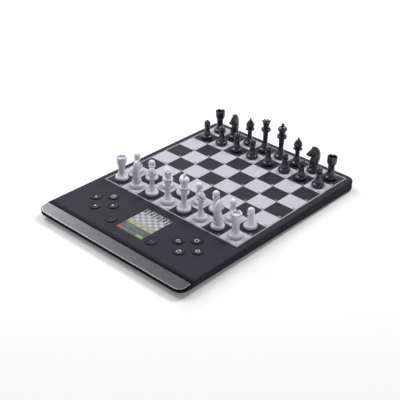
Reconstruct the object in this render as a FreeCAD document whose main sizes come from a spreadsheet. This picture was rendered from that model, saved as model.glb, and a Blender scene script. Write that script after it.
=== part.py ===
"""Electronic chess computer: a flat console with a playing board, a display and loose chessmen.

Frame: the origin lies on the table under the middle of the case, +X is the player's right,
+Y points to the far side of the board and +Z points up. All lengths are in millimetres.
"""
import FreeCAD
import Part
import math
import os
import types

import Sketcher
from FreeCAD import Placement, Rotation, Vector

# Driving sizes. Everything else is worked out from them.
DRIVING_SIZES = {
    # Case seen from above
    "square": 32.5,
    "side_margin": 13.0,
    "back_margin": 13.0,
    "console_depth": 124.5,
    "corner_radius": 14.0,
    # Case walls
    "edge_radius": 4.0,
    "shell_wall": 2.2,
    "top_wall": 2.2,
    "side_depth_front": 9.75,
    "side_depth_back": 16.0,
    # Silver strip on the sloping front edge
    "strip_depth": 20.0,
    "strip_drop": 2.7,
    "strip_thickness": 1.5,
    "strip_front_inset": 1.0,
    "strip_side_inset": 1.4,
    "strip_corner": 12.0,
    "strip_back_corner": 3.0,
    "strip_edge": 0.5,
    "strip_gap": 0.12,
    "roll_depth": 5.0,
    "roll_drop": 2.4,
    # Lower shell
    "foot_height": 2.0,
    "foot_diameter": 14.0,
    "foot_recess": 0.6,
    "foot_inset": 30.0,
    "floor_wall": 2.0,
    "underside_inset": 9.0,
    "underside_radius": 8.0,
    "tray_gap": 0.25,
    "tray_lip": 1.8,
    "tray_headroom": 0.15,
    "tray_wall": 1.6,
    # Battery bay
    "cell_diameter": 10.5,
    "cell_length": 43.0,
    "cell_nub_diameter": 3.8,
    "cell_nub": 1.2,
    "cell_spacing": 0.8,
    "cell_slack": 0.1,
    "bay_wall": 1.4,
    "bay_roof": 1.0,
    "bay_x": 62.0,
    "bay_y": 96.0,
    "contact_plate": 0.4,
    "contact_size": 8.0,
    "contact_spring": 2.4,
    "contact_spring_diameter": 5.0,
    "door_wall": 1.4,
    "door_ledge": 3.0,
    "door_gap": 0.3,
    "door_corner": 3.0,
    "door_grip_width": 18.0,
    "door_grip_depth": 0.7,
    # Speaker and its ring
    "speaker_diameter": 40.0,
    "speaker_height": 6.0,
    "speaker_magnet": 20.0,
    "speaker_ring_wall": 1.5,
    "speaker_ring_height": 3.5,
    "speaker_x": -72.0,
    "speaker_y": 96.0,
    "sound_hole": 3.0,
    "sound_circle": 24.0,
    # Board sheet and the sensor plate under it
    "sheet_thickness": 0.5,
    "sheet_border": 4.0,
    "sheet_gap": 0.1,
    "sensor_thickness": 1.0,
    "sensor_inset": 5.0,
    # Display
    "controls_offset": 47.5,
    "view_width": 50.0,
    "view_depth": 63.6,
    "window_border": 1.8,
    "window_corner": 1.5,
    "window_thickness": 1.2,
    "window_gap": 0.1,
    "lcd_border": 4.0,
    "lcd_thickness": 3.2,
    # Push buttons
    "cap_diameter": 16.6,
    "cap_gap": 0.5,
    "cap_proud": 1.5,
    "cap_edge": 0.7,
    "cap_dish": 0.5,
    "flange_width": 1.6,
    "flange_thickness": 1.0,
    "plunger_diameter": 8.0,
    "plunger_length": 1.7,
    "button_travel": 1.2,
    "cluster_offset": 83.5,
    "cluster_reach": 18.2,
    "menu_offset": 40.6,
    "menu_drop": 26.5,
    # Circuit board and keypad under the console
    "keypad_clearance": 0.3,
    "dome_height": 1.0,
    "dome_diameter": 10.0,
    "keypad_sheet": 0.8,
    "keypad_margin": 3.0,
    "circuit_thickness": 1.6,
    "circuit_side_gap": 2.0,
    "circuit_front_gap": 6.8,
    "circuit_back_reach": 42.0,
    "chip_size": 14.0,
    "chip_height": 1.2,
    "board_post": 6.0,
    "board_post_inset": 5.0,
    "board_screw": 2.0,
    "board_screw_length": 5.0,
    "board_screw_head": 4.2,
    "board_screw_head_height": 1.4,
    # Screws that close the case
    "case_post": 7.0,
    "case_post_side": 13.5,
    "case_post_front": 40.0,
    "case_post_back": 20.0,
    "case_boss": 9.0,
    "case_boss_height": 2.0,
    "case_screw": 3.0,
    "case_screw_length": 9.0,
    "case_screw_head": 5.6,
    "case_screw_head_height": 1.8,
    "case_screw_recess": 2.2,
    "screw_gap": 0.1,
    # Power inlet in the back wall
    "inlet_x": 95.0,
    "inlet_width": 9.0,
    "inlet_height": 3.4,
    "inlet_length": 7.5,
    "inlet_wall": 0.4,
    "inlet_gap": 0.2,
    "inlet_rise": 7.0,
    "inlet_tongue": 0.8,
    "inlet_block": 3.0,
    # Foot and collars that the chessmen share
    "foot_tuck": 1.6,
    "foot_bulge_height": 3.0,
    "foot_shoulder": 2.2,
    "foot_shoulder_height": 3.6,
    "collar_groove": 0.5,
    # Pawn
    "pawn_base": 20.0,
    "pawn_flare": 13.0,
    "pawn_waist": 8.4,
    "pawn_stem": 2.0,
    "pawn_collar": 10.8,
    "pawn_collar_height": 1.6,
    "pawn_neck": 7.0,
    "pawn_neck_height": 0.5,
    "pawn_head": 10.4,
    # Rook
    "rook_base": 20.5,
    "rook_flare": 8.5,
    "rook_waist": 10.4,
    "rook_stem": 8.4,
    "rook_cup_rise": 6.5,
    "rook_cup": 15.6,
    "rook_rim": 8.8,
    "rook_wall": 2.0,
    "rook_hollow": 3.6,
    "rook_notch": 2.0,
    "rook_notch_depth": 1.7,
    "rook_notches": 6,
    # Knight
    "knight_base": 20.5,
    "knight_flare": 4.4,
    "knight_seat": 13.6,
    "knight_ring": 14.8,
    "knight_ring_height": 1.6,
    "knight_height": 30.6,
    "knight_depth": 17.0,
    "knight_width": 13.0,
    "knight_face": 14.0,
    "knight_mane": 2.2,
    "knight_ear": 1.8,
    "knight_ear_length": 4.6,
    "knight_mouth": 0.7,
    # Bishop
    "bishop_base": 20.0,
    "bishop_flare": 12.0,
    "bishop_waist": 7.0,
    "bishop_stem": 8.6,
    "bishop_collar": 15.0,
    "bishop_collar_height": 1.8,
    "bishop_neck": 7.4,
    "bishop_neck_height": 1.4,
    "bishop_head": 13.8,
    "bishop_head_swell": 4.6,
    "bishop_head_taper": 9.8,
    "bishop_tip": 2.6,
    "bishop_finial": 3.4,
    "bishop_slit": 1.1,
    "bishop_slit_depth": 6.0,
    # Queen
    "queen_base": 21.0,
    "queen_flare": 13.0,
    "queen_waist": 7.6,
    "queen_stem": 17.0,
    "queen_collar": 15.6,
    "queen_collar_height": 1.9,
    "queen_neck": 9.0,
    "queen_crown_rise": 12.8,
    "queen_crown": 13.8,
    "queen_crown_wall": 1.8,
    "queen_dish": 2.4,
    "queen_ball": 4.0,
    "queen_notch": 3.4,
    "queen_points": 8,
    # King
    "king_base": 21.4,
    "king_flare": 13.0,
    "king_waist": 7.8,
    "king_stem": 16.0,
    "king_collar": 15.8,
    "king_collar_height": 2.0,
    "king_neck": 9.6,
    "king_crown_rise": 9.4,
    "king_crown": 15.0,
    "king_crown_rim": 1.6,
    "king_dome": 4.2,
    "king_stalk": 3.4,
    "king_stalk_height": 0.8,
    "king_knob": 5.0,
    # Directions in which the four knights look, counted from +Y towards -X
    "white_knight_left_turn": 8.0,
    "white_knight_right_turn": 0.0,
    "black_knight_left_turn": 178.0,
    "black_knight_right_turn": 140.0,
}

FILES = "abcdefgh"
BACK_RANK = ["rook", "knight", "bishop", "queen", "king", "bishop", "knight", "rook"]
CELLS = 4
CASE_POST_ROWS = 4
SOUND_HOLES = 8
# A rim's bulge as a share of its height, just under a half circle
RIM_ROUNDING = 0.49
# How far a cut runs past the solid that it cuts
SPILL = 5.0


class Size:
    """A length known both as a number and as the sheet formula that gives it."""

    def __init__(self, value, formula):
        self.value = value
        self.formula = formula

    @staticmethod
    def of(other):
        if isinstance(other, Size):
            return other
        return Size(float(other), repr(float(other)))

    def __add__(self, other):
        other = Size.of(other)
        return Size(self.value + other.value, f"({self.formula} + {other.formula})")

    def __sub__(self, other):
        other = Size.of(other)
        return Size(self.value - other.value, f"({self.formula} - {other.formula})")

    def __mul__(self, other):
        other = Size.of(other)
        return Size(self.value * other.value, f"({self.formula} * {other.formula})")

    def __truediv__(self, other):
        other = Size.of(other)
        return Size(self.value / other.value, f"({self.formula} / {other.formula})")

    def __radd__(self, other):
        return Size.of(other) + self

    def __rsub__(self, other):
        return Size.of(other) - self

    def __rmul__(self, other):
        return Size.of(other) * self

    def __neg__(self):
        return Size(-self.value, f"(-1 * {self.formula})")

    def root(self):
        return Size(math.sqrt(self.value), f"sqrt({self.formula})")

    def angle_over(self, run):
        """Angle in degrees of a slope that rises by this length over the given run."""
        run = Size.of(run)
        degrees = math.degrees(math.atan2(self.value, run.value))
        return Size(degrees, f"atan({self.formula} / {run.formula})")


doc = FreeCAD.newDocument("chess_computer")
sheet = doc.addObject("Spreadsheet::Sheet", "dim")
for row, (word, number) in enumerate(DRIVING_SIZES.items(), start=1):
    sheet.set(f"A{row}", word)
    sheet.set(f"B{row}", str(number))
    sheet.setAlias(f"B{row}", word)
doc.recompute()
size = types.SimpleNamespace(
    **{word: Size(number, f"dim.{word}") for word, number in DRIVING_SIZES.items()}
)

# Worked-out sizes and levels of the case
field = 8 * size.square
case_width = field + 2 * size.side_margin
case_length = size.console_depth + field + size.back_margin
case_front = -case_length / 2
field_front = case_front + size.console_depth
controls_y = field_front - size.controls_offset

door_top = size.foot_height + size.door_wall
cell_bottom = door_top + size.cell_slack
bay_ceiling = cell_bottom + size.cell_diameter + size.cell_slack
bay_top = bay_ceiling + size.bay_roof
ceiling = bay_top + size.cell_slack + size.sensor_thickness
case_top = ceiling + size.top_wall
floor_top = size.foot_height + size.floor_wall
boss_top = floor_top + size.case_boss_height
side_bottom_front = case_top - size.side_depth_front
side_bottom_back = case_top - size.side_depth_back
tilt = (side_bottom_front - side_bottom_back).angle_over(case_length)

strip_back = size.strip_front_inset + size.strip_depth
room_front = case_front + strip_back + size.roll_depth + size.shell_wall
strip_top_back = case_top - size.roll_drop
strip_top_front = strip_top_back - size.strip_drop
front_ceiling = side_bottom_front + size.tray_lip + size.tray_headroom

bay_width = CELLS * size.cell_diameter + (CELLS + 1) * size.cell_spacing
bay_length = size.cell_length + size.cell_nub + 2 * (size.contact_plate + size.contact_spring)
door_width = bay_width + 2 * size.door_ledge
door_length = bay_length + 2 * size.door_ledge

window_width = size.view_width + 2 * size.window_border
window_depth = size.view_depth + 2 * size.window_border

button_bottom = ceiling - size.flange_thickness - size.plunger_length
circuit_top = (button_bottom - size.button_travel - size.keypad_clearance
               - size.dome_height - size.keypad_sheet)
circuit_bottom = circuit_top - size.circuit_thickness

BUTTONS = {
    "button_left_west": (-size.cluster_offset - size.cluster_reach, controls_y),
    "button_left_east": (-size.cluster_offset + size.cluster_reach, controls_y),
    "button_left_north": (-size.cluster_offset, controls_y + size.cluster_reach),
    "button_left_south": (-size.cluster_offset, controls_y - size.cluster_reach),
    "button_right_west": (size.cluster_offset - size.cluster_reach, controls_y),
    "button_right_east": (size.cluster_offset + size.cluster_reach, controls_y),
    "button_right_north": (size.cluster_offset, controls_y + size.cluster_reach),
    "button_right_south": (size.cluster_offset, controls_y - size.cluster_reach),
    "button_red": (-size.menu_offset, controls_y - size.menu_drop),
    "button_green": (size.menu_offset, controls_y - size.menu_drop),
}

case_post_x = case_width / 2 - size.case_post_side
case_post_start = case_front + size.case_post_front
case_post_run = case_length - size.case_post_front - size.case_post_back
CASE_POSTS = [(side * case_post_x, case_post_start + case_post_run * (step / (CASE_POST_ROWS - 1)))
              for side in (-1, 1) for step in range(CASE_POST_ROWS)]

circuit_width = 2 * (case_post_x - size.case_boss / 2 - size.circuit_side_gap)
circuit_front = room_front + size.circuit_front_gap
circuit_back = controls_y + size.circuit_back_reach
circuit_depth = circuit_back - circuit_front
circuit_y = (circuit_front + circuit_back) / 2
board_post_x = circuit_width / 2 - size.board_post_inset
board_post_y = circuit_depth / 2 - size.board_post_inset
BOARD_POSTS = [(side * board_post_x, circuit_y + end * board_post_y)
               for side in (-1, 1) for end in (-1, 1)]

foot_x = case_width / 2 - size.foot_inset
foot_y = case_length / 2 - size.foot_inset
FEET = [(side * foot_x, end * foot_y) for side in (-1, 1) for end in (-1, 1)]

NODES = []


def bind(thing, path, length):
    """Tie a property to the sheet."""
    thing.setExpression(path, Size.of(length).formula)


def place(thing, x, y, z):
    for axis, length in zip("xyz", (x, y, z)):
        bind(thing, f"Placement.Base.{axis}", length)


def new_body(label, is_node=True):
    body = doc.addObject("PartDesign::Body", label)
    body.Label = label
    if is_node:
        NODES.append(body)
    return body


def group(label, pieces):
    """Several like pieces that share one node."""
    compound = doc.addObject("Part::Compound", label)
    compound.Label = label
    compound.Links = pieces
    NODES.append(compound)
    return compound


def origin_item(body, role):
    return next(item for item in body.Origin.OriginFeatures if item.Role == role)


def sketch_on(body, role, x=0, y=0, z=0):
    """Empty sketch on one of the body's own planes, moved by an offset in the sketch's axes."""
    sketch = body.newObject("Sketcher::SketchObject", "sketch")
    sketch.AttachmentSupport = [(origin_item(body, role), "")]
    sketch.MapMode = "FlatFace"
    for axis, offset in zip("xyz", (x, y, z)):
        bind(sketch, f"AttachmentOffset.Base.{axis}", offset)
    return sketch


def lean(sketch, angle):
    """Turn a sketch about its own X axis."""
    angle = Size.of(angle)
    forwards = angle.value < 0
    axis = Vector(-1 if forwards else 1, 0, 0)
    sketch.AttachmentOffset = Placement(sketch.AttachmentOffset.Base, Rotation(axis, 1))
    bind(sketch, "AttachmentOffset.Rotation.Angle", -angle if forwards else angle)
    return sketch


def constrain(sketch, kind, *where, length=None):
    """Add a constraint and, when it has a length, tie that to the sheet."""
    if length is None:
        sketch.addConstraint(Sketcher.Constraint(kind, *where))
        return
    length = Size.of(length)
    index = sketch.addConstraint(Sketcher.Constraint(kind, *where, length.value))
    bind(sketch, f"Constraints[{index}]", length)


def pin(sketch, shape, point, x, y):
    """Hold a point of a sketch at given distances from the sketch's origin."""
    for kind, axis, length in (("DistanceX", -2, x), ("DistanceY", -1, y)):
        if Size.of(length).value == 0:
            constrain(sketch, "PointOnObject", shape, point, axis)
        else:
            constrain(sketch, kind, -1, 1, shape, point, length=length)


def circles(sketch, diameter, centres):
    diameter = Size.of(diameter)
    for x, y in centres:
        x, y = Size.of(x), Size.of(y)
        ring = Part.Circle(Vector(x.value, y.value, 0), Vector(0, 0, 1), diameter.value / 2)
        shape = sketch.addGeometry(ring)
        constrain(sketch, "Diameter", shape, length=diameter)
        pin(sketch, shape, 3, x, y)
    return sketch


def outline(sketch, *steps):
    """Closed chain of lines and arcs through the given points.

    A step is (x, y) for a line to that point or (x, y, rise) for an arc whose middle stands
    off the chord by the rise. A positive rise bends the way left along the chain.
    """
    points = [(Size.of(step[0]), Size.of(step[1])) for step in steps]
    rises = [Size.of(step[2]) if len(step) > 2 else None for step in steps]
    ends = []
    for index, rise in enumerate(rises):
        (x0, y0), (x1, y1) = points[index - 1], points[index]
        start, stop = Vector(x0.value, y0.value, 0), Vector(x1.value, y1.value, 0)
        if rise is None:
            ends.append((sketch.addGeometry(Part.LineSegment(start, stop)), 1, 2))
            continue
        chord_squared = (x1 - x0) * (x1 - x0) + (y1 - y0) * (y1 - y0)
        height = rise if rise.value > 0 else -rise
        radius = (chord_squared / 4 + height * height) / (2 * height)
        along = (stop - start).normalize()
        left = Vector(-along.y, along.x, 0) * math.copysign(1, rise.value)
        centre = (start + stop) * 0.5 + left * (radius.value - height.value)
        first, last = (start, stop) if rise.value > 0 else (stop, start)
        angles = [math.atan2(p.y - centre.y, p.x - centre.x) for p in (first, last)]
        circle = Part.Circle(centre, Vector(0, 0, 1), radius.value)
        shape = sketch.addGeometry(Part.ArcOfCircle(circle, *angles))
        constrain(sketch, "Radius", shape, length=radius)
        ends.append((shape, 1, 2) if rise.value > 0 else (shape, 2, 1))
    for index, (shape, _, leave) in enumerate(ends):
        following = ends[(index + 1) % len(ends)]
        constrain(sketch, "Coincident", shape, leave, following[0], following[1])
        pin(sketch, shape, leave, *points[index])
    return sketch


def oval(sketch, width, depth, y=0):
    """Ellipse on the sketch's Y axis, longest along it."""
    width, depth, y = Size.of(width), Size.of(depth), Size.of(y)
    middle = Vector(0, y.value, 0)
    ring = sketch.addGeometry(Part.Ellipse(middle + Vector(0, depth.value / 2, 0),
                                           middle + Vector(width.value / 2, 0, 0), middle))
    sketch.exposeInternalGeometry(ring)
    long_axis, short_axis = ring + 1, ring + 2
    pin(sketch, ring, 3, 0, y)
    constrain(sketch, "Vertical", long_axis)
    constrain(sketch, "Distance", long_axis, length=depth)
    constrain(sketch, "Distance", short_axis, length=width)
    return sketch


def rectangle(sketch, width, depth, x=0, y=0):
    half_w, half_d = Size.of(width) / 2, Size.of(depth) / 2
    x, y = Size.of(x), Size.of(y)
    return outline(sketch, (x - half_w, y - half_d), (x + half_w, y - half_d),
                   (x + half_w, y + half_d), (x - half_w, y + half_d))


def corner_rise(radius):
    """Rise of a quarter circle over its chord."""
    return Size.of(radius) * (1 - math.sqrt(0.5))


def rounded_rectangle(sketch, width, depth, radius, x=0, y=0):
    half_w, half_d, r = Size.of(width) / 2, Size.of(depth) / 2, Size.of(radius)
    left, right, near, far = x - half_w, x + half_w, y - half_d, y + half_d
    rise = corner_rise(r)
    return outline(sketch, (left + r, near, rise), (right - r, near), (right, near + r, rise),
                   (right, far - r), (right - r, far, rise), (left + r, far),
                   (left, far - r, rise), (left, near + r))


def pad(body, sketch, length, reverse=False, both_sides=False):
    feature = body.newObject("PartDesign::Pad", "pad")
    feature.Profile = sketch
    bind(feature, "Length", length)
    feature.Reversed = reverse
    if both_sides:
        feature.SideType = "Symmetric"
    return feature


def pocket(body, sketch, depth, reverse=False, both_sides=False):
    """Cut against the sketch's normal, or along it when reversed, and see that it cuts."""
    doc.recompute()
    volume_before = body.Shape.Volume
    feature = body.newObject("PartDesign::Pocket", "pocket")
    feature.Profile = sketch
    bind(feature, "Length", depth)
    feature.Reversed = reverse
    if both_sides:
        feature.SideType = "Symmetric"
    doc.recompute()
    if body.Shape.Volume >= volume_before:
        raise RuntimeError(f"{body.Label}: a pocket cuts nothing")
    return feature


def loft(body, kind, first, *others, ruled=True):
    feature = body.newObject(f"PartDesign::{kind}", "loft")
    feature.Profile = first
    feature.Sections = list(others)
    feature.Ruled = ruled
    return feature


def revolve(body, *steps):
    """Turned solid from its outline, right of the axis, in the body's XZ plane."""
    feature = body.newObject("PartDesign::Revolution", "turned")
    feature.Profile = outline(sketch_on(body, "XZ_Plane"), *steps)
    feature.ReferenceAxis = (feature.Profile[0], ["V_Axis"])
    feature.Angle = 360
    return feature


def repeat_around(body, feature, count):
    """Copies of a cut round the body's own Z axis."""
    pattern = body.newObject("PartDesign::PolarPattern", "pattern")
    pattern.Originals = [feature]
    pattern.Axis = (origin_item(body, "Z_Axis"), [""])
    pattern.Angle = 360
    bind(pattern, "Occurrences", count)
    body.Tip = pattern
    return pattern


def round_edges(body, base, radius, wanted):
    """Fillet on those edges of a feature whose every point passes the test."""
    doc.recompute()
    names = [f"Edge{number}" for number, edge in enumerate(base.Shape.Edges, start=1)
             if all(wanted(vertex.Point) for vertex in edge.Vertexes)]
    feature = body.newObject("PartDesign::Fillet", "fillet")
    feature.Base = (base, names)
    bind(feature, "Radius", radius)
    return feature


# Upper shell


def strip_outline(sketch, gap):
    """Plan of the silver strip on the sloping front, with round corners."""
    run = (strip_back * strip_back + size.strip_drop * size.strip_drop).root()
    half = case_width / 2 - size.strip_side_inset + gap
    near = size.strip_front_inset * run / strip_back - gap
    far = run + gap
    corner, back_corner = size.strip_corner, size.strip_back_corner
    rise, back_rise = corner_rise(corner), corner_rise(back_corner)
    return outline(sketch, (-half + corner, near, rise), (half - corner, near),
                   (half, near + corner, rise), (half, far - back_corner),
                   (half - back_corner, far, back_rise), (back_corner - half, far),
                   (-half, far - back_corner, back_rise), (-half, near + corner))


def strip_plane(body):
    sketch = sketch_on(body, "XY_Plane", y=case_front, z=strip_top_front)
    return lean(sketch, size.strip_drop.angle_over(strip_back))


def side_sketch(body):
    """Sketch that looks along X, with its origin a little before the case on the table."""
    return sketch_on(body, "YZ_Plane", x=case_front - SPILL)


def make_top_case():
    body = new_body("top_case")
    plan = sketch_on(body, "XY_Plane", z=side_bottom_back)
    rounded_rectangle(plan, case_width, case_length, size.corner_radius)
    block = pad(body, plan, size.side_depth_back)
    top = case_top.value
    round_edges(body, block, size.edge_radius, lambda point: abs(point.z - top) < 1e-6)

    slope = side_sketch(body)
    strip_end = strip_back + SPILL
    outline(slope, (0, strip_top_front), (SPILL, strip_top_front), (strip_end, strip_top_back),
            (strip_end + size.roll_depth, case_top, -size.roll_drop / 5),
            (strip_end + size.roll_depth, case_top + SPILL), (0, case_top + SPILL))
    pocket(body, slope, 2 * case_width, both_sides=True)

    underside = side_sketch(body)
    outline(underside, (0, 0), (case_length + SPILL, 0), (case_length + SPILL, side_bottom_back),
            (SPILL, side_bottom_front), (0, side_bottom_front))
    pocket(body, underside, 2 * case_width, both_sides=True)

    inner_width = case_width - 2 * size.shell_wall
    inner_radius = size.corner_radius - size.shell_wall
    low_room = sketch_on(body, "XY_Plane")
    rounded_rectangle(low_room, inner_width, case_length - 2 * size.shell_wall, inner_radius)
    pocket(body, low_room, front_ceiling, reverse=True)

    room_back = -case_front - size.shell_wall
    high_room = sketch_on(body, "XY_Plane")
    rounded_rectangle(high_room, inner_width, room_back - room_front, inner_radius,
                      y=(room_back + room_front) / 2)
    pocket(body, high_room, ceiling, reverse=True)

    sheet_seat = sketch_on(body, "XY_Plane", z=case_top)
    sheet_side = field + 2 * (size.sheet_border + size.sheet_gap)
    rectangle(sheet_seat, sheet_side, sheet_side, y=field_front + field / 2)
    pocket(body, sheet_seat, size.sheet_thickness)

    pocket(body, strip_outline(strip_plane(body), size.strip_gap), size.strip_thickness)

    window_seat = sketch_on(body, "XY_Plane", z=case_top)
    rounded_rectangle(window_seat, window_width + 2 * size.window_gap,
                      window_depth + 2 * size.window_gap, size.window_corner + size.window_gap,
                      y=controls_y)
    pocket(body, window_seat, size.window_thickness)
    view = sketch_on(body, "XY_Plane", z=case_top)
    rectangle(view, size.view_width, size.view_depth, y=controls_y)
    pocket(body, view, size.top_wall)

    holes = sketch_on(body, "XY_Plane", z=case_top)
    circles(holes, size.cap_diameter + 2 * size.cap_gap, BUTTONS.values())
    pocket(body, holes, size.top_wall)

    for posts, diameter, foot in ((CASE_POSTS, size.case_post, boss_top),
                                  (BOARD_POSTS, size.board_post, circuit_top)):
        pad(body, circles(sketch_on(body, "XY_Plane", z=foot), diameter, posts), ceiling - foot)
    case_screw_depth = size.case_screw_length - (boss_top - screw_seat) + SPILL / 10
    for posts, screw, foot, depth in (
            (CASE_POSTS, size.case_screw, boss_top, case_screw_depth),
            (BOARD_POSTS, size.board_screw, circuit_top, size.board_screw_length)):
        drilled = circles(sketch_on(body, "XY_Plane", z=foot), screw + size.screw_gap, posts)
        pocket(body, drilled, depth, reverse=True)

    inlet = sketch_on(body, "XZ_Plane", x=size.inlet_x, y=inlet_z, z=case_front)
    inlet_slot(inlet, size.inlet_gap)
    pocket(body, inlet, size.shell_wall, reverse=True)


def make_front_trim():
    body = new_body("front_trim")
    strip = pad(body, strip_outline(strip_plane(body), 0), size.strip_thickness, reverse=True)
    slope = size.strip_drop.value / strip_back.value
    front, low = case_front.value, strip_top_front.value
    round_edges(body, strip, size.strip_edge,
                lambda point: abs(point.z - low - slope * (point.y - front)) < 1e-6)


# Lower shell

screw_seat = size.foot_height + size.case_screw_recess
parting_middle = (side_bottom_front + side_bottom_back) / 2
parting_fall = side_bottom_front - side_bottom_back
stretch = (case_length * case_length + parting_fall * parting_fall).root() / case_length
tray_width = case_width - 2 * (size.shell_wall + size.tray_gap)
tray_length = case_length - 2 * (size.shell_wall + size.tray_gap)
tray_radius = size.corner_radius - size.shell_wall - size.tray_gap
base_width = case_width - 2 * size.underside_inset
base_length = case_length - 2 * size.underside_inset
inlet_z = side_bottom_back + size.inlet_rise


def parting_sketch(body, lift, inset):
    """Tray outline on the sloping plane where the two shells meet."""
    sketch = lean(sketch_on(body, "XY_Plane", z=parting_middle + lift), -tilt)
    return rounded_rectangle(sketch, tray_width - 2 * inset, (tray_length - 2 * inset) * stretch,
                             tray_radius - inset)


def make_bottom_case():
    body = new_body("bottom_case")
    base = sketch_on(body, "XY_Plane", z=size.foot_height)
    rounded_rectangle(base, base_width, base_length, size.underside_radius)
    loft(body, "AdditiveLoft", base, parting_sketch(body, 0, 0))
    pad(body, parting_sketch(body, 0, 0), size.tray_lip)
    floor = sketch_on(body, "XY_Plane", z=floor_top)
    rounded_rectangle(floor, base_width - 2 * size.tray_wall, base_length - 2 * size.tray_wall,
                      size.underside_radius - size.tray_wall)
    loft(body, "SubtractiveLoft", floor, parting_sketch(body, size.tray_lip, size.tray_wall))

    for width, length, top in (
            (door_width + 2 * size.bay_wall, door_length + 2 * size.bay_wall,
             door_top + size.bay_wall),
            (bay_width + 2 * size.bay_wall, bay_length + 2 * size.bay_wall, bay_top)):
        frame = sketch_on(body, "XY_Plane", z=size.foot_height)
        rectangle(frame, width, length, size.bay_x, size.bay_y)
        pad(body, frame, top - size.foot_height)
    recess = sketch_on(body, "XY_Plane", z=size.foot_height)
    rounded_rectangle(recess, door_width + 2 * size.door_gap, door_length + 2 * size.door_gap,
                      size.door_corner + size.door_gap, size.bay_x, size.bay_y)
    pocket(body, recess, size.door_wall, reverse=True)
    bay = sketch_on(body, "XY_Plane", z=size.foot_height)
    rectangle(bay, bay_width, bay_length, size.bay_x, size.bay_y)
    pocket(body, bay, bay_ceiling - size.foot_height, reverse=True)

    middle = [(size.speaker_x, size.speaker_y)]
    ring = sketch_on(body, "XY_Plane", z=floor_top)
    bore = size.speaker_diameter + 2 * size.screw_gap
    circles(ring, bore, middle)
    circles(ring, bore + 2 * size.speaker_ring_wall, middle)
    pad(body, ring, size.speaker_ring_height)
    turns = [2 * math.pi * step / SOUND_HOLES for step in range(SOUND_HOLES)]
    around = [(size.speaker_x + size.sound_circle / 2 * math.cos(turn),
               size.speaker_y + size.sound_circle / 2 * math.sin(turn)) for turn in turns]
    sound = circles(sketch_on(body, "XY_Plane", z=floor_top), size.sound_hole, middle + around)
    pocket(body, sound, size.floor_wall)

    bosses = circles(sketch_on(body, "XY_Plane", z=size.foot_height), size.case_boss, CASE_POSTS)
    pad(body, bosses, boss_top - size.foot_height)
    for diameter, depth in ((size.case_screw_head + 8 * size.screw_gap, size.case_screw_recess),
                            (size.case_screw + 2 * size.screw_gap, boss_top - size.foot_height)):
        drilled = circles(sketch_on(body, "XY_Plane", z=size.foot_height), diameter, CASE_POSTS)
        pocket(body, drilled, depth, reverse=True)
    seats = circles(sketch_on(body, "XY_Plane", z=size.foot_height), size.foot_diameter, FEET)
    pocket(body, seats, size.foot_recess, reverse=True)


def make_rubber_feet():
    feet = []
    for x, y in FEET:
        foot = new_body("rubber_foot", is_node=False)
        radius = size.foot_diameter / 2
        edge = size.foot_recess
        revolve(foot, (0, 0), (radius - edge, 0), (radius, edge, corner_rise(edge)),
                (radius, size.foot_height + size.foot_recess),
                (0, size.foot_height + size.foot_recess))
        place(foot, x, y, 0)
        feet.append(foot)
    group("rubber_feet", feet)


# Height of the thumb grip's bow, as a share of half its width
GRIP_BOW = 0.9


def make_battery_door():
    body = new_body("battery_door")
    plate = sketch_on(body, "XY_Plane", z=size.foot_height)
    rounded_rectangle(plate, door_width, door_length, size.door_corner, size.bay_x, size.bay_y)
    pad(body, plate, size.door_wall)
    grip = sketch_on(body, "XY_Plane", z=size.foot_height)
    half = size.door_grip_width / 2
    edge = size.bay_y - door_length / 2 + size.door_ledge
    outline(grip, (size.bay_x - half, edge, half * GRIP_BOW), (size.bay_x + half, edge))
    pocket(body, grip, size.door_grip_depth, reverse=True)


def cell_centres():
    pitch = size.cell_diameter + size.cell_spacing
    return [size.bay_x + pitch * (number - (CELLS - 1) / 2) for number in range(CELLS)]


cell_axis = cell_bottom + size.cell_diameter / 2
bay_front = size.bay_y - bay_length / 2
bay_back = size.bay_y + bay_length / 2


def make_battery_cells():
    """Cells lie along Y and point to and fro in turn."""
    cells = []
    for number, x in enumerate(cell_centres()):
        cell = new_body("battery_cell", is_node=False)
        radius, nub = size.cell_diameter / 2, size.cell_nub_diameter / 2
        edge = size.cell_nub / 2
        revolve(cell, (0, 0), (radius - edge, 0), (radius, edge, corner_rise(edge)),
                (radius, size.cell_length - edge),
                (radius - edge, size.cell_length, corner_rise(edge)), (nub, size.cell_length),
                (nub, size.cell_length + size.cell_nub), (0, size.cell_length + size.cell_nub))
        away = number % 2 == 0
        cell.Placement = Placement(Vector(), Rotation(Vector(1, 0, 0), -90 if away else 90))
        reach = size.contact_plate + size.contact_spring
        place(cell, x, bay_front + reach if away else bay_back - reach, cell_axis)
        cells.append(cell)
    group("battery_cells", cells)


def make_battery_contacts():
    body = new_body("battery_contacts")
    for wall, inwards in ((bay_front, 1), (bay_back, -1)):
        plates = sketch_on(body, "XZ_Plane", z=-wall)
        for x in cell_centres():
            rectangle(plates, size.contact_size, size.contact_size, x, cell_axis)
        pad(body, plates, size.contact_plate, reverse=inwards > 0)
        springs = sketch_on(body, "XZ_Plane", z=-(wall + inwards * size.contact_plate))
        circles(springs, size.contact_spring_diameter, [(x, cell_axis) for x in cell_centres()])
        pad(body, springs, size.contact_spring, reverse=inwards > 0)


def make_speaker():
    body = new_body("speaker")
    radius, magnet = size.speaker_diameter / 2, size.speaker_magnet / 2
    rim = size.speaker_height / 4
    revolve(body, (0, 0), (radius, 0), (radius, rim), (magnet, size.speaker_height - 2 * rim),
            (magnet, size.speaker_height), (0, size.speaker_height))
    place(body, size.speaker_x, size.speaker_y, floor_top)


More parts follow.
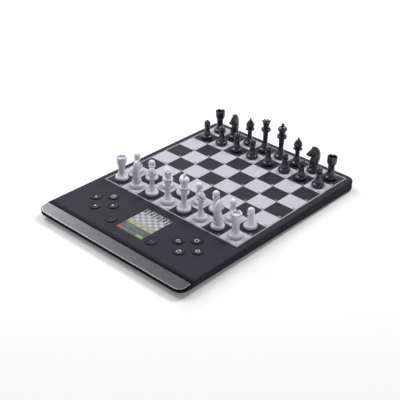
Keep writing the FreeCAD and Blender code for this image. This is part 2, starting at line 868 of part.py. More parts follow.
def make_screws(label, spots, seat, head, head_height, thread, length):
    screws = []
    for x, y in spots:
        screw = new_body("screw", is_node=False)
        dome = head_height / 3
        revolve(screw, (0, 0), (head / 2 - dome, 0), (head / 2, dome, corner_rise(dome)),
                (head / 2, head_height), (thread / 2, head_height),
                (thread / 2, head_height + length), (0, head_height + length))
        place(screw, x, y, seat - head_height)
        screws.append(screw)
    group(label, screws)


def inlet_slot(sketch, grow):
    """Oblong outline of the power inlet."""
    width, height = size.inlet_width + 2 * grow, size.inlet_height + 2 * grow
    return rounded_rectangle(sketch, width, height, height * RIM_ROUNDING)


def make_power_socket():
    """Metal shell with a tongue, on a block that backs onto the inside of the wall."""
    body = new_body("power_socket")
    wall_inside = -case_front - size.shell_wall
    shell = sketch_on(body, "XZ_Plane", z=case_front)
    pad(body, inlet_slot(shell, 0), size.inlet_length)
    block = sketch_on(body, "XZ_Plane", z=-wall_inside)
    rectangle(block, size.inlet_width + 2 * size.inlet_block,
              size.inlet_height + 2 * size.inlet_block)
    pad(body, block, size.inlet_length)
    hollow = sketch_on(body, "XZ_Plane", z=case_front)
    inlet_slot(hollow, -size.inlet_wall)
    pocket(body, hollow, size.inlet_length - size.inlet_wall, reverse=True)
    tongue = sketch_on(body, "XZ_Plane", z=case_front + size.inlet_wall)
    rectangle(tongue, size.inlet_width - 2 * size.inlet_height, size.inlet_tongue)
    pad(body, tongue, size.inlet_length - size.inlet_wall)
    place(body, size.inlet_x, 0, inlet_z)


# Board, display and what lies under them


def make_playing_board():
    body = new_body("playing_board")
    sheet_plan = sketch_on(body, "XY_Plane", z=case_top - size.sheet_thickness)
    side = field + 2 * size.sheet_border
    rectangle(sheet_plan, side, side, y=field_front + field / 2)
    pad(body, sheet_plan, size.sheet_thickness)


def make_sensor_board():
    body = new_body("sensor_board")
    plan = sketch_on(body, "XY_Plane", z=ceiling - size.sensor_thickness)
    side = field - 2 * size.sensor_inset
    rectangle(plan, side, side, y=field_front + field / 2)
    pad(body, plan, size.sensor_thickness)


def make_display_window():
    body = new_body("display_window")
    plan = sketch_on(body, "XY_Plane", z=case_top - size.window_thickness)
    rounded_rectangle(plan, window_width, window_depth, size.window_corner, y=controls_y)
    pad(body, plan, size.window_thickness)


def make_lcd_module():
    body = new_body("lcd_module")
    frame = sketch_on(body, "XY_Plane", z=ceiling - size.lcd_thickness)
    rectangle(frame, size.view_width + 2 * size.lcd_border, size.view_depth + 2 * size.lcd_border,
              y=controls_y)
    pad(body, frame, size.lcd_thickness)
    glass = sketch_on(body, "XY_Plane", z=ceiling)
    rectangle(glass, size.view_width - size.window_gap, size.view_depth - size.window_gap,
              y=controls_y)
    pad(body, glass, size.top_wall - size.window_thickness - size.window_gap)


def make_main_circuit_board():
    body = new_body("main_circuit_board")
    plan = sketch_on(body, "XY_Plane", z=circuit_bottom)
    rectangle(plan, circuit_width, circuit_depth, y=circuit_y)
    pad(body, plan, size.circuit_thickness)
    chips = sketch_on(body, "XY_Plane", z=circuit_bottom)
    for x, y in ((0, 0), (-2 * size.chip_size, 0), (2 * size.chip_size, size.chip_size)):
        rectangle(chips, size.chip_size, size.chip_size, x, controls_y + y)
    pad(body, chips, size.chip_height, reverse=True)
    drilled = sketch_on(body, "XY_Plane", z=circuit_top)
    circles(drilled, size.board_screw + 2 * size.screw_gap, BOARD_POSTS)
    pocket(body, drilled, size.circuit_thickness)


def make_keypad_sheet():
    body = new_body("keypad_sheet")
    plan = sketch_on(body, "XY_Plane", z=circuit_top)
    side = size.board_post_inset + size.board_post / 2 + size.keypad_margin
    rectangle(plan, circuit_width - 2 * side, circuit_depth - 2 * size.keypad_margin, y=circuit_y)
    pad(body, plan, size.keypad_sheet)
    domes = sketch_on(body, "XY_Plane", z=circuit_top + size.keypad_sheet)
    circles(domes, size.dome_diameter, BUTTONS.values())
    pad(body, domes, size.dome_height)


def make_button(label, x, y):
    """Dished cap with a flange that stops under the panel."""
    body = new_body(label)
    cap, plunger = size.cap_diameter / 2, size.plunger_diameter / 2
    flange = cap + size.flange_width
    flange_top = size.plunger_length + size.flange_thickness
    top = flange_top + size.top_wall + size.cap_proud
    edge = size.cap_edge
    revolve(body, (0, 0), (plunger, 0), (plunger, size.plunger_length),
            (flange, size.plunger_length), (flange, flange_top), (cap, flange_top),
            (cap, top - edge), (cap - edge, top, corner_rise(edge)),
            (0, top - size.cap_dish, -size.cap_dish / 4))
    place(body, x, y, button_bottom)


# Chessmen. Each outline climbs from the foot to the top, with the axis on its left.


def foot_steps(base, waist, flare):
    """Rounded foot and the hollow flare above it, and the height reached."""
    radius = base / 2
    bulge = size.foot_bulge_height
    shoulder = bulge + size.foot_shoulder_height
    top = shoulder + flare
    steps = [(0, 0), (radius - size.foot_tuck, 0),
             (radius, bulge, size.foot_tuck / 3),
             (radius - size.foot_shoulder, shoulder, size.foot_shoulder / 3),
             (waist / 2, top, -flare / 10)]
    return steps, top


def ball_steps(radius, neck, start):
    """Ball that stands on a neck, and the height of its top."""
    middle = start + (radius * radius - neck * neck).root()
    chord = (radius - neck) * (radius - neck) + (middle - start) * (middle - start)
    rise = radius - (radius * radius - chord / 4).root()
    return [(radius, middle, rise), (0, middle + radius, corner_rise(radius))], middle + radius


def collar_steps(inner, collar, start, height):
    """Disc with a rounded rim round the stem."""
    flat = (collar - height) / 2
    return [(flat, start), (flat, start + height, height * RIM_ROUNDING), (inner / 2, start + height)]


def pawn(body):
    steps, level = foot_steps(size.pawn_base, size.pawn_waist, size.pawn_flare)
    level = level + size.pawn_stem
    neck = size.pawn_neck / 2
    steps.append((neck, level))
    steps += collar_steps(size.pawn_neck, size.pawn_collar, level, size.pawn_collar_height)
    level = level + size.pawn_collar_height + size.pawn_neck_height
    steps.append((neck, level))
    ball, _ = ball_steps(size.pawn_head / 2, neck, level)
    revolve(body, *steps, *ball)


def rook(body):
    steps, level = foot_steps(size.rook_base, size.rook_waist, size.rook_flare)
    level = level + size.rook_stem
    cup = size.rook_cup / 2
    rim = level + size.rook_cup_rise
    top = rim + size.rook_rim
    well = cup - size.rook_wall
    revolve(body, *steps, (size.rook_waist / 2, level), (cup, rim, size.rook_cup_rise / 20),
            (cup, top), (well, top), (well, top - size.rook_hollow), (0, top - size.rook_hollow))
    notch = sketch_on(body, "XY_Plane", z=top)
    half = size.rook_notch / 2
    outline(notch, (0, -half), (size.rook_cup, -half), (size.rook_cup, half), (0, half))
    repeat_around(body, pocket(body, notch, size.rook_notch_depth), size.rook_notches)


def bishop(body):
    steps, level = foot_steps(size.bishop_base, size.bishop_waist, size.bishop_flare)
    level = level + size.bishop_stem
    neck, tip = size.bishop_neck / 2, size.bishop_tip / 2
    steps.append((neck, level))
    steps += collar_steps(size.bishop_neck, size.bishop_collar, level, size.bishop_collar_height)
    level = level + size.bishop_collar_height + size.bishop_neck_height
    steps.append((neck, level))
    widest = level + size.bishop_head_swell
    shoulder = widest + size.bishop_head_taper
    head = size.bishop_head / 2
    steps += [(head, widest, size.bishop_head_swell / 6),
              (tip, shoulder, size.bishop_head_taper / 8)]
    ball, _ = ball_steps(size.bishop_finial / 2, tip, shoulder)
    revolve(body, *steps, *ball)
    slit = sketch_on(body, "YZ_Plane")
    mouth = widest + size.bishop_head_taper / 2
    depth = size.bishop_slit_depth
    high = size.bishop_slit * math.sqrt(2)
    outline(slit, (-head, mouth), (depth - head, mouth - depth), (depth - head, mouth + high - depth),
            (-head, mouth + high))
    pocket(body, slit, 2 * size.bishop_head, both_sides=True)


def stem_and_collars(base, flare, waist, stem, neck, collar, collar_height):
    """Lower half of the king and the queen, with two collars."""
    steps, level = foot_steps(base, waist, flare)
    level = level + stem
    steps.append((neck / 2, level))
    for _ in range(2):
        steps += collar_steps(neck, collar, level, collar_height)
        level = level + collar_height + size.collar_groove
        steps.append((neck / 2, level))
    return steps, level


# Stalk under the queen's ball, as a share of the ball
STALK_SHARE = 0.7


def queen(body):
    steps, level = stem_and_collars(
        size.queen_base, size.queen_flare, size.queen_waist, size.queen_stem,
        size.queen_neck, size.queen_collar, size.queen_collar_height)
    rim = level + size.queen_crown_rise
    crown, ball_radius = size.queen_crown / 2, size.queen_ball / 2
    stalk = ball_radius * STALK_SHARE
    ball, _ = ball_steps(ball_radius, stalk, rim - size.queen_dish)
    revolve(body, *steps, (crown, rim, -size.queen_crown_rise / 24),
            (crown - size.queen_crown_wall, rim), (stalk, rim - size.queen_dish), *ball)
    notch = sketch_on(body, "XZ_Plane", z=ball_radius + size.queen_ball / 10)
    circles(notch, size.queen_notch, [(0, rim)])
    repeat_around(body, pocket(body, notch, crown, reverse=True), size.queen_points)


def king(body):
    steps, level = stem_and_collars(
        size.king_base, size.king_flare, size.king_waist, size.king_stem,
        size.king_neck, size.king_collar, size.king_collar_height)
    crown, stalk = size.king_crown / 2, size.king_stalk / 2
    rim = level + size.king_crown_rise
    brow = rim + size.king_crown_rim
    top = brow + size.king_dome
    ball, _ = ball_steps(size.king_knob / 2, stalk, top + size.king_stalk_height)
    revolve(body, *steps, (crown, rim, -size.king_crown_rise / 10), (crown, brow),
            (stalk, top, size.king_dome / 4), (stalk, top + size.king_stalk_height), *ball)


# Oval rings of the horse, as shares of its depth, height and width: forward, up, lean, depth, width
HORSE_NECK = [
    (0.00, 0.00, 0, 0.80, 0.98), (0.00, 0.10, 0, 0.84, 0.92), (-0.04, 0.28, 6, 0.88, 0.82),
    (-0.10, 0.46, 3, 0.80, 0.72), (-0.09, 0.64, -10, 0.76, 0.66), (-0.01, 0.79, -32, 0.72, 0.62),
    (0.09, 0.90, -50, 0.54, 0.54), (0.15, 0.965, -60, 0.27, 0.31),
]
# Where the face starts, how it leans, and how far its brow stands off its axis
HORSE_POLL = (0.13, 0.93)
FACE_LEAN = -138.0
FACE_BROW = 0.16
# Rings of the face as shares of its length, depth and width: along, depth, width
HORSE_FACE = [(0.00, 0.44, 0.50), (0.22, 0.72, 0.60), (0.45, 0.78, 0.58), (0.68, 0.72, 0.50),
              (0.86, 0.62, 0.46), (1.00, 0.46, 0.36), (1.08, 0.30, 0.22)]
# Mane from the side: forward, up and bulge as shares of depth, height and depth
HORSE_MANE = [(-0.49, 0.20), (-0.46, 0.74, -0.06), (0.08, 1.037, -0.10), (0.05, 0.85), (-0.30, 0.20)]
# Ear from the side, as shares of its thickness and length, with its distance from the middle
HORSE_EAR = [(0.0, -0.2), (1.6, -0.2), (1.5, 0.2), (1.0, 0.8)]
EAR_OFFSET = 0.7
# Mouth line from the tip of the muzzle, as shares of the face
MOUTH_ENDS = ((-0.30, 0.105), (0.30, -0.345))


def knight(body):
    steps, seat = foot_steps(size.knight_base, size.knight_seat, size.knight_flare)
    ring_top = seat + size.knight_ring_height
    revolve(body, *steps, *collar_steps(size.knight_seat, size.knight_ring, seat,
                                        size.knight_ring_height), (0, ring_top))
    depth, height, width = size.knight_depth, size.knight_height, size.knight_width
    start = ring_top - size.knight_ring_height / 2
    neck = [oval(lean(sketch_on(body, "XY_Plane", y=forward * depth, z=start + up * height), tilt),
                 wide * width, deep * depth)
            for forward, up, tilt, deep, wide in HORSE_NECK]
    loft(body, "AdditiveLoft", *neck, ruled=False)

    ahead, down = -math.sin(math.radians(FACE_LEAN)), math.cos(math.radians(FACE_LEAN))
    poll_y, poll_z = HORSE_POLL[0] * depth, start + HORSE_POLL[1] * height
    face = []
    for along, deep, wide in HORSE_FACE:
        reach = along * size.knight_face
        ring = sketch_on(body, "XY_Plane", y=poll_y + reach * ahead, z=poll_z + reach * down)
        face.append(oval(lean(ring, FACE_LEAN), wide * width, deep * depth,
                         (deep / 2 - FACE_BROW) * depth))
    loft(body, "AdditiveLoft", *face, ruled=False)

    mane = sketch_on(body, "YZ_Plane")
    outline(mane, *((forward * depth, start + up * height, *(rise * depth for rise in bulge))
                    for forward, up, *bulge in HORSE_MANE))
    pad(body, mane, size.knight_mane, both_sides=True)

    ear = size.knight_ear
    for side in (-1, 1):
        plan = sketch_on(body, "YZ_Plane", z=side * ear * EAR_OFFSET)
        outline(plan, *((poll_y + across * ear, poll_z + up * size.knight_ear_length)
                        for across, up in HORSE_EAR))
        pad(body, plan, ear, both_sides=True)

    mouth = sketch_on(body, "YZ_Plane", x=poll_y + size.knight_face * ahead,
                      y=poll_z + size.knight_face * down)
    (inner_y, inner_z), (outer_y, outer_z) = (
        (across * size.knight_face, up * size.knight_face) for across, up in MOUTH_ENDS)
    outline(mouth, (inner_y, inner_z), (outer_y, outer_z), (outer_y, outer_z + size.knight_mouth),
            (inner_y, inner_z + size.knight_mouth))
    pocket(body, mouth, 2 * width, both_sides=True)


CARVERS = {"pawn": pawn, "rook": rook, "knight": knight, "bishop": bishop, "queen": queen,
           "king": king}


def make_chessman(colour, kind, column, rank):
    body = new_body(f"{colour}_{kind}_{FILES[column]}{rank + 1}")
    CARVERS[kind](body)
    if kind == "knight":
        flank = "left" if column < 4 else "right"
        body.Placement = Placement(Vector(), Rotation(Vector(0, 0, 1), 1))
        bind(body, "Placement.Rotation.Angle", getattr(size, f"{colour}_knight_{flank}_turn"))
    place(body, size.square * (column - 3.5), field_front + size.square * (rank + 0.5), case_top)


def make_chessmen():
    for column, kind in enumerate(BACK_RANK):
        make_chessman("white", kind, column, 0)
        make_chessman("white", "pawn", column, 1)
        make_chessman("black", "pawn", column, 6)
        make_chessman("black", kind, column, 7)


def check_and_export():
    doc.recompute()
    for thing in doc.Objects:
        if "Invalid" in thing.State or "Error" in thing.State:
            raise RuntimeError(f"{thing.Name} ({thing.Label}) failed: {thing.State}")
    os.makedirs("parts", exist_ok=True)
    for node in NODES:
        if node.Shape.isNull() or not node.Shape.isValid():
            raise RuntimeError(f"{node.Label} has no valid shape")
    for node in NODES:
        node.Shape.exportStep(f"parts/{node.Label}.step")


make_top_case()
make_front_trim()
make_bottom_case()
make_rubber_feet()
make_battery_door()
make_battery_cells()
make_battery_contacts()
make_speaker()
make_screws("case_screws", CASE_POSTS, screw_seat, size.case_screw_head,
            size.case_screw_head_height, size.case_screw, size.case_screw_length)
make_screws("board_screws", BOARD_POSTS, circuit_bottom, size.board_screw_head,
            size.board_screw_head_height, size.board_screw, size.board_screw_length)
make_power_socket()
make_playing_board()
make_sensor_board()
make_display_window()
make_lcd_module()
make_main_circuit_board()
make_keypad_sheet()
for button_label, (button_x, button_y) in BUTTONS.items():
    make_button(button_label, button_x, button_y)
make_chessmen()
check_and_export()
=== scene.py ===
"""Looks of the electronic chess computer: finishes, printed board, display picture and turned chessmen."""
import math

import bmesh
import bpy
from bpy.props import FloatProperty, FloatVectorProperty, IntProperty, PointerProperty
from mathutils import Matrix, Vector


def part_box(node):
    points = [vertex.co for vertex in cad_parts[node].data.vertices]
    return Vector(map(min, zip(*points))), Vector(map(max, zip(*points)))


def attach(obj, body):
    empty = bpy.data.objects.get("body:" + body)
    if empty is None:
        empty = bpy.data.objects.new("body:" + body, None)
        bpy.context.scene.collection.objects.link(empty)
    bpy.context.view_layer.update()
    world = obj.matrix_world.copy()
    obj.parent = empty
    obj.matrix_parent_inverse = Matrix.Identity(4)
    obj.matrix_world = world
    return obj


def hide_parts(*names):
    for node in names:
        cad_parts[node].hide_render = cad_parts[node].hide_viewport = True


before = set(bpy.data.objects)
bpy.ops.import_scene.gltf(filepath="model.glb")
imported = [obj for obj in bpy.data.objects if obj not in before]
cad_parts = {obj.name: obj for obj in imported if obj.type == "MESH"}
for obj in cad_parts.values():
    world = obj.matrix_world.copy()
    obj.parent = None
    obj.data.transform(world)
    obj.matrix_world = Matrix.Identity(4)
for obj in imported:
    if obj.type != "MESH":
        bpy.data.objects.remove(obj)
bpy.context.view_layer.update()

bl_info = {
    "name": "Chess Computer",
    "version": (1, 0, 0),
    "blender": (4, 5, 0),
    "location": "View3D > Sidebar > Chess Computer",
    "description": "Dresses the solids of an electronic chess computer and its chessmen",
    "category": "Add Mesh",
}

MM = 0.001
# Points nearer than this are one point
MERGE = 1e-6

# Places on the console, read from the solids
FILES = "abcdefgh"
BOARD_LOW, BOARD_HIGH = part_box("playing_board")
BOARD_MIDDLE = (BOARD_LOW + BOARD_HIGH) / 2
BOARD_TOP = BOARD_HIGH.z
SHEET_BORDER = 4.0 * MM
SQUARE = (BOARD_HIGH.x - BOARD_LOW.x - 2 * SHEET_BORDER) / len(FILES)
FIELD_FRONT = BOARD_LOW.y + SHEET_BORDER


class ConsoleLooks(bpy.types.PropertyGroup):
    """Colours of the case and its fittings."""

    panel_colour: FloatVectorProperty(
        name="Panel", description="Moulded upper shell", subtype="COLOR",
        default=(0.0310, 0.0294, 0.0390))
    shell_colour: FloatVectorProperty(
        name="Lower shell", description="Moulded lower shell and battery door", subtype="COLOR",
        default=(0.018, 0.018, 0.021))
    foot_colour: FloatVectorProperty(
        name="Feet", description="Rubber feet", subtype="COLOR",
        default=(0.012, 0.012, 0.012))
    strip_colour: FloatVectorProperty(
        name="Front strip", description="Brushed metal strip along the front", subtype="COLOR",
        default=(0.119, 0.1145, 0.126))
    # Painted highlight along the strip's front rim and round corners, in place of the reflection in its
    # rounded edge
    painted_highlight_colour: FloatVectorProperty(
        name="Strip rim highlight", description="Bright rim of the front strip", subtype="COLOR",
        default=(0.42, 0.41, 0.44))
    cap_colour: FloatVectorProperty(
        name="Button cap", description="Push button caps", subtype="COLOR",
        default=(0.021, 0.021, 0.0255))
    sign_colour: FloatVectorProperty(
        name="Button sign", description="Printed arrows on the caps", subtype="COLOR",
        default=(0.64, 0.64, 0.66))
    outline_sign_colour: FloatVectorProperty(
        name="Outlined sign", description="Outlined signs on the caps", subtype="COLOR",
        default=(0.50, 0.50, 0.52))
    red_sign_colour: FloatVectorProperty(
        name="Red sign", description="Sign on the red button", subtype="COLOR",
        default=(0.27, 0.016, 0.05))
    green_sign_colour: FloatVectorProperty(
        name="Green sign", description="Sign on the green button", subtype="COLOR",
        default=(0.08, 0.30, 0.17))


class BoardLooks(bpy.types.PropertyGroup):
    """Print of the playing board."""

    light_colour: FloatVectorProperty(
        name="Light squares", description="Print of the light squares", subtype="COLOR",
        default=(0.525, 0.513, 0.570))
    dark_colour: FloatVectorProperty(
        name="Dark squares", description="Print of the dark squares", subtype="COLOR",
        default=(0.0238, 0.0224, 0.0275))
    line_width: FloatProperty(
        name="Border line", description="Width of the white line round the squares",
        default=1.3 * MM, unit="LENGTH")
    line_gap: FloatProperty(
        name="Border gap", description="Dark gap between the squares and the line",
        default=0.5 * MM, unit="LENGTH")
    mark_height: FloatProperty(
        name="Square marks", description="Height of the small letters on the squares",
        default=4.6 * MM, unit="LENGTH")
    mark_inset: FloatProperty(
        name="Mark inset", description="Gap between a mark and the sides of its square",
        default=1.5 * MM, unit="LENGTH")


class DisplayLooks(bpy.types.PropertyGroup):
    """Colours of the picture on the display."""

    pale_square_colour: FloatVectorProperty(
        name="Pale squares", description="Pale squares of the diagram", subtype="COLOR",
        default=(0.61, 0.62, 0.635))
    dull_square_colour: FloatVectorProperty(
        name="Dull squares", description="Dull squares of the diagram", subtype="COLOR",
        default=(0.29, 0.305, 0.335))
    near_men_colour: FloatVectorProperty(
        name="Near men", description="Men on the player's side of the diagram", subtype="COLOR",
        default=(0.44, 0.40, 0.10))
    far_men_colour: FloatVectorProperty(
        name="Far men", description="Men on the far side of the diagram", subtype="COLOR",
        default=(0.012, 0.012, 0.014))
    status_colour: FloatVectorProperty(
        name="Status field", description="Dark field in front of the diagram", subtype="COLOR",
        default=(0.080, 0.105, 0.104))
    band_colour: FloatVectorProperty(
        name="Status band", description="Band along the front of the field", subtype="COLOR",
        default=(0.095, 0.125, 0.118))
    red_block_colour: FloatVectorProperty(
        name="Red block", description="Block at the left of the band", subtype="COLOR",
        default=(0.66, 0.035, 0.01))
    green_block_colour: FloatVectorProperty(
        name="Green block", description="Block at the right of the band", subtype="COLOR",
        default=(0.33, 0.50, 0.12))
    red_dash_colour: FloatVectorProperty(
        name="Red dash", description="Short dash above the band", subtype="COLOR",
        default=(0.55, 0.05, 0.03))


class MenLooks(bpy.types.PropertyGroup):
    """Colours and smoothness of the chessmen."""

    white_colour: FloatVectorProperty(
        name="White men", description="Cool white plastic", subtype="COLOR",
        default=(0.79, 0.76, 0.84))
    black_colour: FloatVectorProperty(
        name="Black men", description="Blue black plastic", subtype="COLOR",
        default=(0.0105, 0.0130, 0.0260))
    turns: IntProperty(
        name="Turning steps", description="Faces round a turned piece", default=48, min=48)
    arc_steps: IntProperty(
        name="Arc steps", description="Faces along each curve of an outline", default=7, min=2)


class StageLooks(bpy.types.PropertyGroup):
    """Lamps, sky and camera."""

    key_power: FloatProperty(
        name="Key lamp", description="Power of the broad soft lamp on the player's left",
        default=20.0, subtype="POWER")
    rear_power: FloatProperty(
        name="Rear lamp", description="Power of the lamp behind the black men",
        default=18.0, subtype="POWER")
    side_power: FloatProperty(
        name="Side lamp", description="Power of the lamp that the front strip mirrors",
        default=9.5, subtype="POWER")
    sky: FloatProperty(
        name="Sky", description="Strength of the even light from all round", default=0.22,
        subtype="FACTOR")
    lens: FloatProperty(
        name="Lens", description="Focal length of the camera", default=77.92,
        subtype="DISTANCE_CAMERA")
    camera_spot: FloatVectorProperty(
        name="Camera", description="Where the camera stands", subtype="TRANSLATION",
        default=(0.7365, -0.8409, 0.6804))
    camera_aim: FloatVectorProperty(
        name="Aim", description="Which way the camera looks", subtype="DIRECTION",
        default=(-0.56550, 0.64192, -0.51785))
    camera_roll: FloatProperty(
        name="Roll", description="Turn of the camera about its aim", subtype="ANGLE",
        default=math.radians(1.7245))


# Shader expressions


class Wire:
    """A number on a node's output. Sums and products of wires add Math nodes."""

    def __init__(self, finish, socket):
        self.finish = finish
        self.socket = socket

    def math(self, operation, *values):
        return self.finish.node("ShaderNodeMath", {"operation": operation}, dict(enumerate(values)))

    def __add__(self, other):
        return self.math("ADD", self, other)

    __radd__ = __add__

    def __sub__(self, other):
        return self.math("SUBTRACT", self, other)

    def __rsub__(self, other):
        return self.math("SUBTRACT", other, self)

    def __mul__(self, other):
        return self.math("MULTIPLY", self, other)

    __rmul__ = __mul__

    def __truediv__(self, other):
        return self.math("DIVIDE", self, other)

    def __lt__(self, other):
        return self.math("LESS_THAN", self, other)

    def __gt__(self, other):
        return self.math("GREATER_THAN", self, other)

    def __abs__(self):
        return self.math("ABSOLUTE", self)

    def floor(self):
        return self.math("FLOOR", self)

    def even_or_odd(self):
        """Rest after division by two."""
        return self.math("FLOORED_MODULO", self, 2.0)

    def larger(self, other):
        return self.math("MAXIMUM", self, other)

    def clamped(self):
        """Value kept between nought and one."""
        return self.math("MINIMUM", self, 1.0).larger(0.0)

    def length_with(self, other):
        """Length of a step along both."""
        return self.math("SQRT", self * self + other * other)


def shaded(colour, factor):
    """Darker or lighter shade of a colour."""
    return [part * factor for part in colour]


class Finish:
    """A procedural material on the Principled shader.

    Its constants are the shader's sockets, in words such as coat_weight.
    """

    def __init__(self, name, **constants):
        self.material = bpy.data.materials.new(name)
        self.material.use_nodes = True
        self.tree = self.material.node_tree
        self.shader = self.tree.nodes["Principled BSDF"]
        for word, value in constants.items():
            socket = word.replace("_", " ").title().replace("Ior", "IOR")
            self.shader.inputs[socket].default_value = value

    def node(self, kind, settings, inputs, output=0):
        """New node with its settings and its sockets' values or links, and the wire that leaves it."""
        node = self.tree.nodes.new(kind)
        for word, value in settings.items():
            setattr(node, word, value)
        for key, value in inputs.items():
            if isinstance(value, Wire):
                self.tree.links.new(value.socket, node.inputs[key])
            else:
                node.inputs[key].default_value = value
        return Wire(self, node.outputs[output])

    def place(self):
        """Position on the object."""
        return self.node("ShaderNodeTexCoord", {}, {}, "Object")

    def axes(self):
        """The three parts of that position."""
        place = self.place()
        return [self.node("ShaderNodeSeparateXYZ", {}, {0: place}, axis) for axis in range(3)]

    def noise(self, scale, stretch=(1, 1, 1), detail=2.0):
        """Cloudy value near one half, with its grains drawn out by the stretch."""
        spread = self.node("ShaderNodeMapping", {}, {"Vector": self.place(), "Scale": stretch})
        return self.node("ShaderNodeTexNoise", {}, {"Vector": spread, "Scale": scale, "Detail": detail})

    def mix(self, share, first, second):
        """Colour between two colours."""
        first, second = (paint if isinstance(paint, Wire) else (*paint, 1.0)
                         for paint in (first, second))
        return self.node("ShaderNodeMix", {"data_type": "RGBA"}, {0: share, 6: first, 7: second}, 2)

    def shades(self, share, colour, low, high):
        """Colour between two shades of one colour."""
        return self.mix(share, shaded(colour, low), shaded(colour, high))

    def mottle(self, colour, spread, scale):
        """Colour that wanders a little about the given one."""
        return self.shades(self.noise(scale), colour, 1 - spread, 1 + spread)

    def feed(self, socket, value):
        """Link a value to a socket of the shader."""
        self.tree.links.new(value.socket, self.shader.inputs[socket])

    def wear(self, cloud, roughness, spread):
        """Roughness that wanders about a value with a cloud."""
        self.feed("Roughness", roughness + spread * (cloud - 0.5))

    def bump(self, height, distance, strength):
        """Fine relief that follows a value."""
        self.feed("Normal", self.node("ShaderNodeBump", {}, {
            "Height": height, "Distance": distance, "Strength": strength}))


# Gloss and grain that the moulded plastics share
MOULDED_SPECULAR = 0.12
MOULDED_GRAIN = 900.0


def mould_grain(finish, roughness, grain):
    """Fine spark-eroded grain of the mould."""
    speck = finish.noise(grain, detail=3.0)
    finish.wear(speck, roughness, spread=0.25)
    finish.bump(speck, distance=0.04 * MM, strength=0.35)


def moulded_plastic(name, colour, roughness, grain=MOULDED_GRAIN):
    """Injection-moulded plastic."""
    finish = Finish(name, specular_ior_level=MOULDED_SPECULAR)
    finish.feed("Base Color", finish.mottle(colour, spread=0.08, scale=60.0))
    mould_grain(finish, roughness, grain)
    return finish.material


def satin_panel_with_painted_shade(name, colour, top, front):
    """Moulded shell, satin on its flat top and matt over its rolled front and its sides, with painted shade
    darkening that front and those sides.
    """
    edge_drop, edge_fade, roll_reach = 1.2 * MM, 1.0 * MM, 9.0 * MM
    # Shares of the colour left by the painted shade on the sides and on the rolled front
    painted_side_shade, painted_roll_shade = 0.78, 0.32
    satin, matt = 0.58, 0.83
    finish = Finish(name, specular_ior_level=MOULDED_SPECULAR)
    _, y, z = finish.axes()
    level = ((z - (top - edge_drop)) / edge_fade).clamped()
    behind = ((y - front) / roll_reach).clamped()
    # Painted shade: the colour darkens below the top edge down the sides, and towards the front over the
    # roll
    strength = (painted_side_shade + (1 - painted_side_shade) * level) * (painted_roll_shade + (1 - painted_roll_shade) * behind)
    cloud = finish.mottle(colour, spread=0.08, scale=60.0)
    finish.feed("Base Color", finish.mix(strength, (0.0, 0.0, 0.0), cloud))
    mould_grain(finish, matt - (matt - satin) * level * behind, MOULDED_GRAIN)
    return finish.material


def polished_plastic(name, colour, roughness):
    """Glossy turned plastic with a faint flow in it."""
    finish = Finish(name, coat_weight=0.4, coat_roughness=0.1)
    finish.feed("Base Color", finish.mottle(colour, spread=0.05, scale=140.0))
    cloud = finish.noise(420.0)
    finish.wear(cloud, roughness, spread=0.08)
    finish.bump(cloud, distance=0.03 * MM, strength=0.08)
    return finish.material


def brushed_metal_painted_highlight(name, colour, painted_highlight_colour, low, high):
    """Strip brushed lengthwise, with a painted highlight along its front rim and its round corners."""
    corner, highlight_width = 12.0 * MM, 0.9 * MM
    finish = Finish(name, metallic=0.8)
    lines = finish.noise(100.0, stretch=(1.0, 22.0, 22.0), detail=5.0)
    x, y, _ = finish.axes()
    beyond = (abs(x) - (high.x - corner)).larger(0.0)
    before = (low.y + corner - y).larger(0.0)
    # Painted highlight: the band next to the front edge and round corners takes the bright colour
    rim = beyond.length_with(before) > corner - highlight_width
    grain = finish.shades(lines, colour, low=0.35, high=1.75)
    finish.feed("Base Color", finish.mix(rim, grain, painted_highlight_colour))
    finish.wear(lines, roughness=0.35, spread=0.3)
    finish.bump(lines, distance=0.03 * MM, strength=0.4)
    return finish.material


def plain_metal(name, colour, roughness):
    """Plated or painted metal with a cloudy shine."""
    finish = Finish(name, metallic=1.0)
    finish.feed("Base Color", finish.mottle(colour, spread=0.1, scale=300.0))
    finish.wear(finish.noise(700.0), roughness, spread=0.2)
    return finish.material


def soft_rubber(name, colour):
    """Matt rubber with a dusty grain."""
    finish = Finish(name, specular_ior_level=0.25)
    finish.feed("Base Color", finish.mottle(colour, spread=0.15, scale=200.0))
    dust = finish.noise(1500.0)
    finish.wear(dust, roughness=0.75, spread=0.2)
    finish.bump(dust, distance=0.05 * MM, strength=0.4)
    return finish.material


def circuit_resist(name):
    """Green lacquer over copper tracks."""
    lacquer, over_copper = (0.015, 0.10, 0.045), (0.03, 0.17, 0.07)
    column, row = 2.4 * MM, 3.1 * MM
    column_track, row_track = 0.22, 0.18
    finish = Finish(name, coat_weight=0.3)
    x, y, _ = finish.axes()
    tracks = (abs((x / column).even_or_odd() - 1.0) < column_track).larger(
        abs((y / row).even_or_odd() - 1.0) < row_track)
    finish.feed("Base Color", finish.mix(tracks, lacquer, over_copper))
    finish.wear(finish.noise(500.0), roughness=0.35, spread=0.2)
    return finish.material


def tinted_print(name, roughness=0.45, glow=0.0):
    """Print whose colour each face carries."""
    finish = Finish(name, emission_strength=glow)
    tint = finish.node("ShaderNodeAttribute", {"attribute_name": "tint"}, {}, "Color")
    finish.feed("Base Color", tint)
    if glow:
        finish.feed("Emission Color", tint)
    finish.wear(finish.noise(900.0), roughness, spread=0.1)
    return finish.material


# Modelling helpers


def finished(name, bm, body, nodes, material, sharp=35.0, outwards=True):
    """Object of a mesh with its material, tied to its body, with the solids it stands for hidden."""
    bmesh.ops.remove_doubles(bm, verts=bm.verts, dist=MERGE)
    if outwards:
        bmesh.ops.recalc_face_normals(bm, faces=bm.faces)
    mesh = bpy.data.meshes.new(name)
    bm.to_mesh(mesh)
    bm.free()
    mesh.shade_smooth()
    mesh.set_sharp_from_angle(angle=math.radians(sharp))
    mesh.materials.append(material)
    piece = bpy.data.objects.new(name, mesh)
    bpy.context.scene.collection.objects.link(piece)
    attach(piece, body)
    if nodes:
        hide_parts(*nodes)
    return piece


